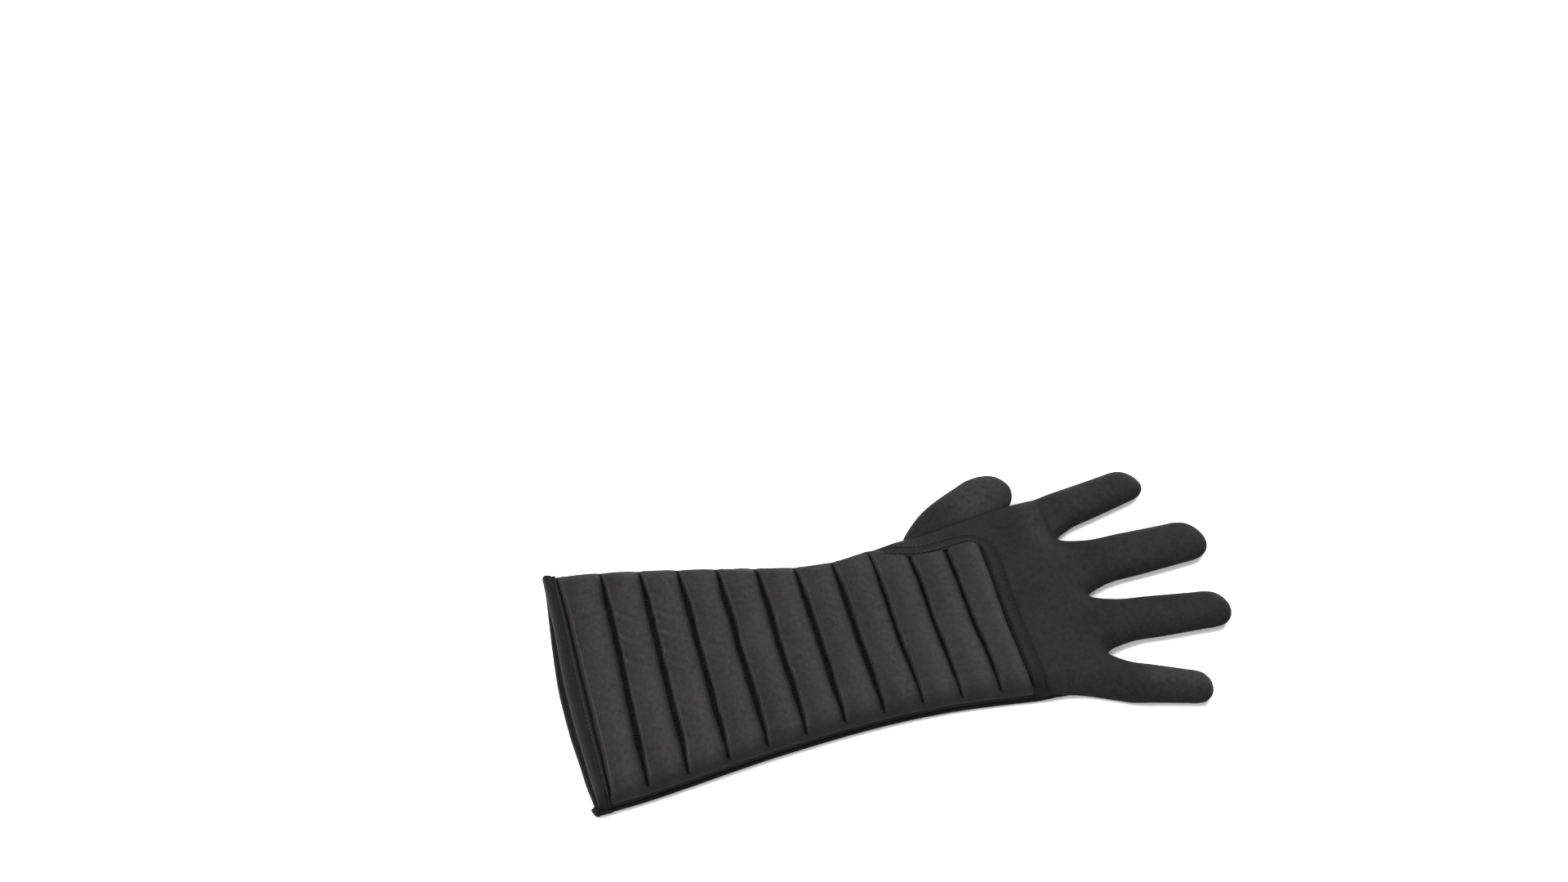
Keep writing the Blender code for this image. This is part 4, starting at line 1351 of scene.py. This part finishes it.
def build_mouth():
    back, palm = mouth_loft(BACK_SECTION, 0.9, -2.8, -1.0), mouth_loft(PALM_SECTION, -0.2, -4.4, 1.1)
    from_edge = np.array([u for u, _, _ in BACK_SECTION])
    # Painted shade on the back hem near the mouth's edge, where it rolls over.
    dark = 0.62 * (1 - smoothstep(from_edge, 1.4, 4.6))
    skin = back.reshape(-1, 3), [face[::-1] for face in grid_faces(*back.shape[:2])]
    plain_piece("mouth_hem_back", skin, BINDING, "binding_tape", "gauntlet", "mouth_binding_back",
                extras={"deep": np.tile(dark, len(back))})
    skin = palm.reshape(-1, 3), grid_faces(*palm.shape[:2])
    # Painted light: the whole palm hem is painted paler.
    plain_piece("mouth_hem_palm", skin, BINDING, "binding_tape", "gauntlet", "mouth_binding_palm",
                extras={"wear": np.full(len(skin[0]), 0.9)})
    skin = run_of_stitches(back[3:-3, 14] + [0, 0, 0.02], length=1.9, gap=0.9, radius=0.22)
    plain_piece("mouth_stitches_back", skin, THREAD, "seam_piping", "gauntlet")
    line = palm[6:-6, 12].copy()
    line[:, 2] = 0.22
    skin = run_of_stitches(line, length=2.6, gap=0.9, radius=0.2, sink=-0.25)
    plain_piece("mouth_stitches_palm", skin, THREAD, "seam_piping", "gauntlet")


build_mouth()


# The tab's plan, from the mouth's corner, and its section: (share of the plan, height).
TAB_PLAN = ((-2.3, 2.2), (-0.6, 3.2), (4.2, 2.6), (7.4, 1.2), (8.5, -0.2), (6.2, -0.6), (2.6, -0.9),
            (-0.2, -1.3))
TAB_SECTION = ((0, 0.2), (0.8, 0.2), (1, 0.6), (1.02, 1.6), (1, 2.9), (0.9, 3.5), (0.5, 3.8), (0, 3.9))


def build_corner_tab():
    """The folded end of the mouth's binding, at the little-finger corner."""
    low = edge_y(MOUTH_LITTLE_X, False)
    outline = smooth_line([(MOUTH_LITTLE_X + u, low + v) for u, v in TAB_PLAN + TAB_PLAN[:1]], 0.7)[:-1]
    middle = outline.mean(0)
    rings = []
    for share, z in TAB_SECTION:
        ring = middle + share * (outline - middle)
        lump = 0.12 * lattice_noise(*ring.T, 2.5, 19) * share
        rings.append(np.column_stack([ring, z * (1 - 0.05 * (ring[:, 0] - middle[0]) / 5) + lump]))
    skin = capped(np.array(rings[1:-1]), rings[0][0], rings[-1][0])
    # Painted shade over the whole folded tab.
    plain_piece("mouth_corner_tab", skin, BINDING, "binding_tape", "gauntlet",
                extras={"deep": np.full(len(skin[0]), 0.6)})


build_corner_tab()

# ---------------------------------------------------------------- the long seams


def build_long_seams():
    for thumb_side, label in ((False, "little_side"), (True, "thumb_side")):
        low = (MOUTH_THUMB_X if thumb_side else MOUTH_LITTLE_X) + 1.0
        x = np.arange(low, LITTLE.root[0] - 14, 1.0)
        y = edge_y(x, thumb_side)
        z = seam_height(x, y)
        if thumb_side:
            end = 1 - smoothstep(x, TAPE_START_X - 8, TAPE_START_X + 12)
            line = np.column_stack([x, y - 0.2, z + 0.5 * end])
            wide, tall = 0.3 + 0.6 * end, 0.3 + 0.8 * end
        else:
            end = 1 - smoothstep(x, TAPE_X - 6, TAPE_X + 22)
            line = np.column_stack([x, y + 0.5 - 0.3 * end, z - 1.0 * end])
            wide, tall = 0.3 + 0.9 * end, 0.35 + 1.3 * end
        plain_piece(f"long_seam_{label}", tube(line, wide, 10, tall), PIPING, "seam_piping", "gauntlet",
                    f"gauntlet_seam_{label}", f"hand_seam_{label}")


build_long_seams()

# ---------------------------------------------------------------- the thumb

# Heights of the thumb's back and seam, and half the height of its lining.
THUMB_TOP, THUMB_SEAM_Z, THUMB_LINING_HALF = 7.95, 3.2, 2.0
THUMB_SPLIT = 18.0
THUMB_BACK_END = -27.0


# Round the thumb's tip: (beyond the CAD thumb's end, across).
THUMB_TIP_LINE = ((-11, -17.6), (-4, -14.7), (0.6, -10.2), (2.7, -3.0), (1.6, 3), (-2.6, 8.2), (-10.4, 13.2))


def thumb_outline():
    """The thumb's plan line, round from its gathered base."""
    end = THUMB_BACK_END
    control = [(end, -3), (end + 3, -12), (end + 11, -17), (0, -19), (15, -19.3), (31, -19.4), (44, -18.8)]
    control += [(THUMB.length + beyond, w) for beyond, w in THUMB_TIP_LINE]
    control += [(47, 15.8), (37.8, 18.4), (28, 20.7), (18, 22.0), (7, 21.8), (-3.3, 20.4), (-12, 17)]
    control += [(end + 6, 8), (end, -3)]
    return smooth_line([THUMB.place(s, w) for s, w in control], STEP)[:-1]


def thumb_fold(s, w):
    """1 in the soft hollow along the base of the thumb's outer side."""
    along = smoothstep(s, -6, 4) * (1 - smoothstep(s, 18, 34))
    return hump(w, 15.4 - 0.06 * s, 2.6) * along


def beneath_hand(plan):
    """1 where the hand's cloth lies on the thumb."""
    wall = np.vstack([OUTLINE, OUTLINE[:1]])
    depth = distance(plan, wall) * np.where(inside(plan, OUTLINE), 1, -1)
    return smoothstep(depth, -2.5, 0.5)


def thumb_shape(plan, rim):
    s, w = THUMB.local(plan).T
    gathers = np.zeros_like(s)
    turn = np.arctan2(w + 3, s + 9)
    near_end = 1 - smoothstep(s, -22, 2)
    for k in (5, 9, 14):
        gathers += 0.35 * np.sin(k * turn + k) / (k / 6) * near_end * smoothstep(rim, 1, 5)
    low = THUMB_SEAM_Z
    top = low + (THUMB_TOP - low) * swell(rim, 11, 1.7)
    top = top + 0.08 * layered_noise(*plan.T, 9, 51) * smoothstep(rim, 2, 8)
    top = top - (thumb_fold(s, w) + beneath_hand(plan)) * smoothstep(rim, 1, 5)
    bottom = low * (1 - swell(rim, 7)) + 0.05
    folds = 0.7 * hump(s - 24 + 0.2 * w, 0, 3) + 0.5 * hump(s - 38 - 0.2 * w, 0, 3)
    bottom = bottom + (np.maximum(gathers, 0) + folds) * smoothstep(rim, 1, 6)
    return top, bottom


# Painted light on the back towards the thumb's tip, and painted shade in the fold along its outer side and
# towards its base.
def thumb_tones(plan, side):
    s, w = THUMB.local(plan).T
    lit = smoothstep(s, 14, 40) if side == "back" else 0 * s
    return 0.9 * lit * hump(w, 1, 14), np.maximum(0.3 * thumb_fold(s, w), 0.22 * (1 - smoothstep(s, -2, 30)))


def build_thumb():
    outline = thumb_outline()
    wall = np.vstack([outline, outline[:1]])
    first = nearest(outline, THUMB.place(THUMB_SPLIT, -THUMB.half(THUMB_SPLIT)))
    last = nearest(outline, THUMB.place(THUMB_SPLIT, THUMB.half(THUMB_SPLIT)))
    plan, triangles, middle, rim = meshed(outline, wall, [(first, last)])
    labels = np.where(inside(middle, outline[first:last + 1]), "thumb_tip", "thumb_base")
    top, bottom = thumb_shape(plan, rim)
    top[rim == 0] = bottom[rim == 0]
    build_surfaces(plan, triangles, labels, top, bottom, ["thumb_base", "thumb_tip"],
                   panel_maker(thumb_tones))
    inner = THUMB_LINING_HALF * swell(np.maximum(rim - LINING_INSET, 0), 9)
    sleeves(plan, triangles, labels, rim, ["thumb_base", "thumb_tip"],
            THUMB_SEAM_Z + inner, THUMB_SEAM_Z - inner)
    turns = np.linspace(0, 2 * math.pi, 60)
    ring = np.array([THUMB.place(-14 + 12.5 * math.cos(t), -4 + 14 * math.sin(t)) for t in turns])
    ring = np.column_stack([ring, drape(*ring.T) - 0.1])
    plain_piece("thumb_hole_seam", tube(ring, 0.8), PIPING, "seam_piping", "hand", "thumb_seam",
                "thumb_gusset")


build_thumb()

# ---------------------------------------------------------------- stage, lights and camera


# (name, place, size, power) of the lights, which all point at the glove's middle.
LIGHTS = (("left_softbox", (-1.25, 0.35, 0.9), 0.8, 54), ("right_softbox", (1.1, 0.7, 1.1), 0.8, 30),
          ("front_fill", (0.1, -1.5, 1.1), 1.2, 22))


def area_light(name, place, size, power):
    data = bpy.data.lights.new(name, "AREA")
    data.shape = "DISK"
    data.size = size
    data.energy = power
    light = bpy.data.objects.new(name, data)
    light.location = place
    light.rotation_euler = (-Vector(place)).to_track_quat("-Z", "Y").to_euler()
    bpy.context.scene.collection.objects.link(light)


def studio():
    bpy.ops.mesh.primitive_plane_add(size=8, location=(0, 0, 0))
    floor = bpy.context.object
    floor.name = "studio_floor"
    material = bpy.data.materials.new("studio_floor")
    material.use_nodes = True
    shader = material.node_tree.nodes["Principled BSDF"]
    shader.inputs["Base Color"].default_value = (0.93, 0.93, 0.925, 1)
    shader.inputs["Roughness"].default_value = 0.9
    floor.data.materials.append(material)
    world = bpy.data.worlds.new("studio")
    world.use_nodes = True
    world.node_tree.nodes["Background"].inputs["Color"].default_value = (1, 1, 1, 1)
    world.node_tree.nodes["Background"].inputs["Strength"].default_value = 0.28
    scene = bpy.context.scene
    scene.world = world
    scene.view_settings.view_transform = "Standard"
    for light in LIGHTS:
        area_light(*light)


def camera():
    data = bpy.data.cameras.new("camera")
    data.lens = 38.16
    data.sensor_width = 36
    cam = bpy.data.objects.new("camera", data)
    cam.location = (-0.1886, -0.5407, 0.7299)
    cam.rotation_euler = (math.radians(44.107), 0, math.radians(-12.985))
    bpy.context.scene.collection.objects.link(cam)
    bpy.context.scene.camera = cam


studio()
camera()
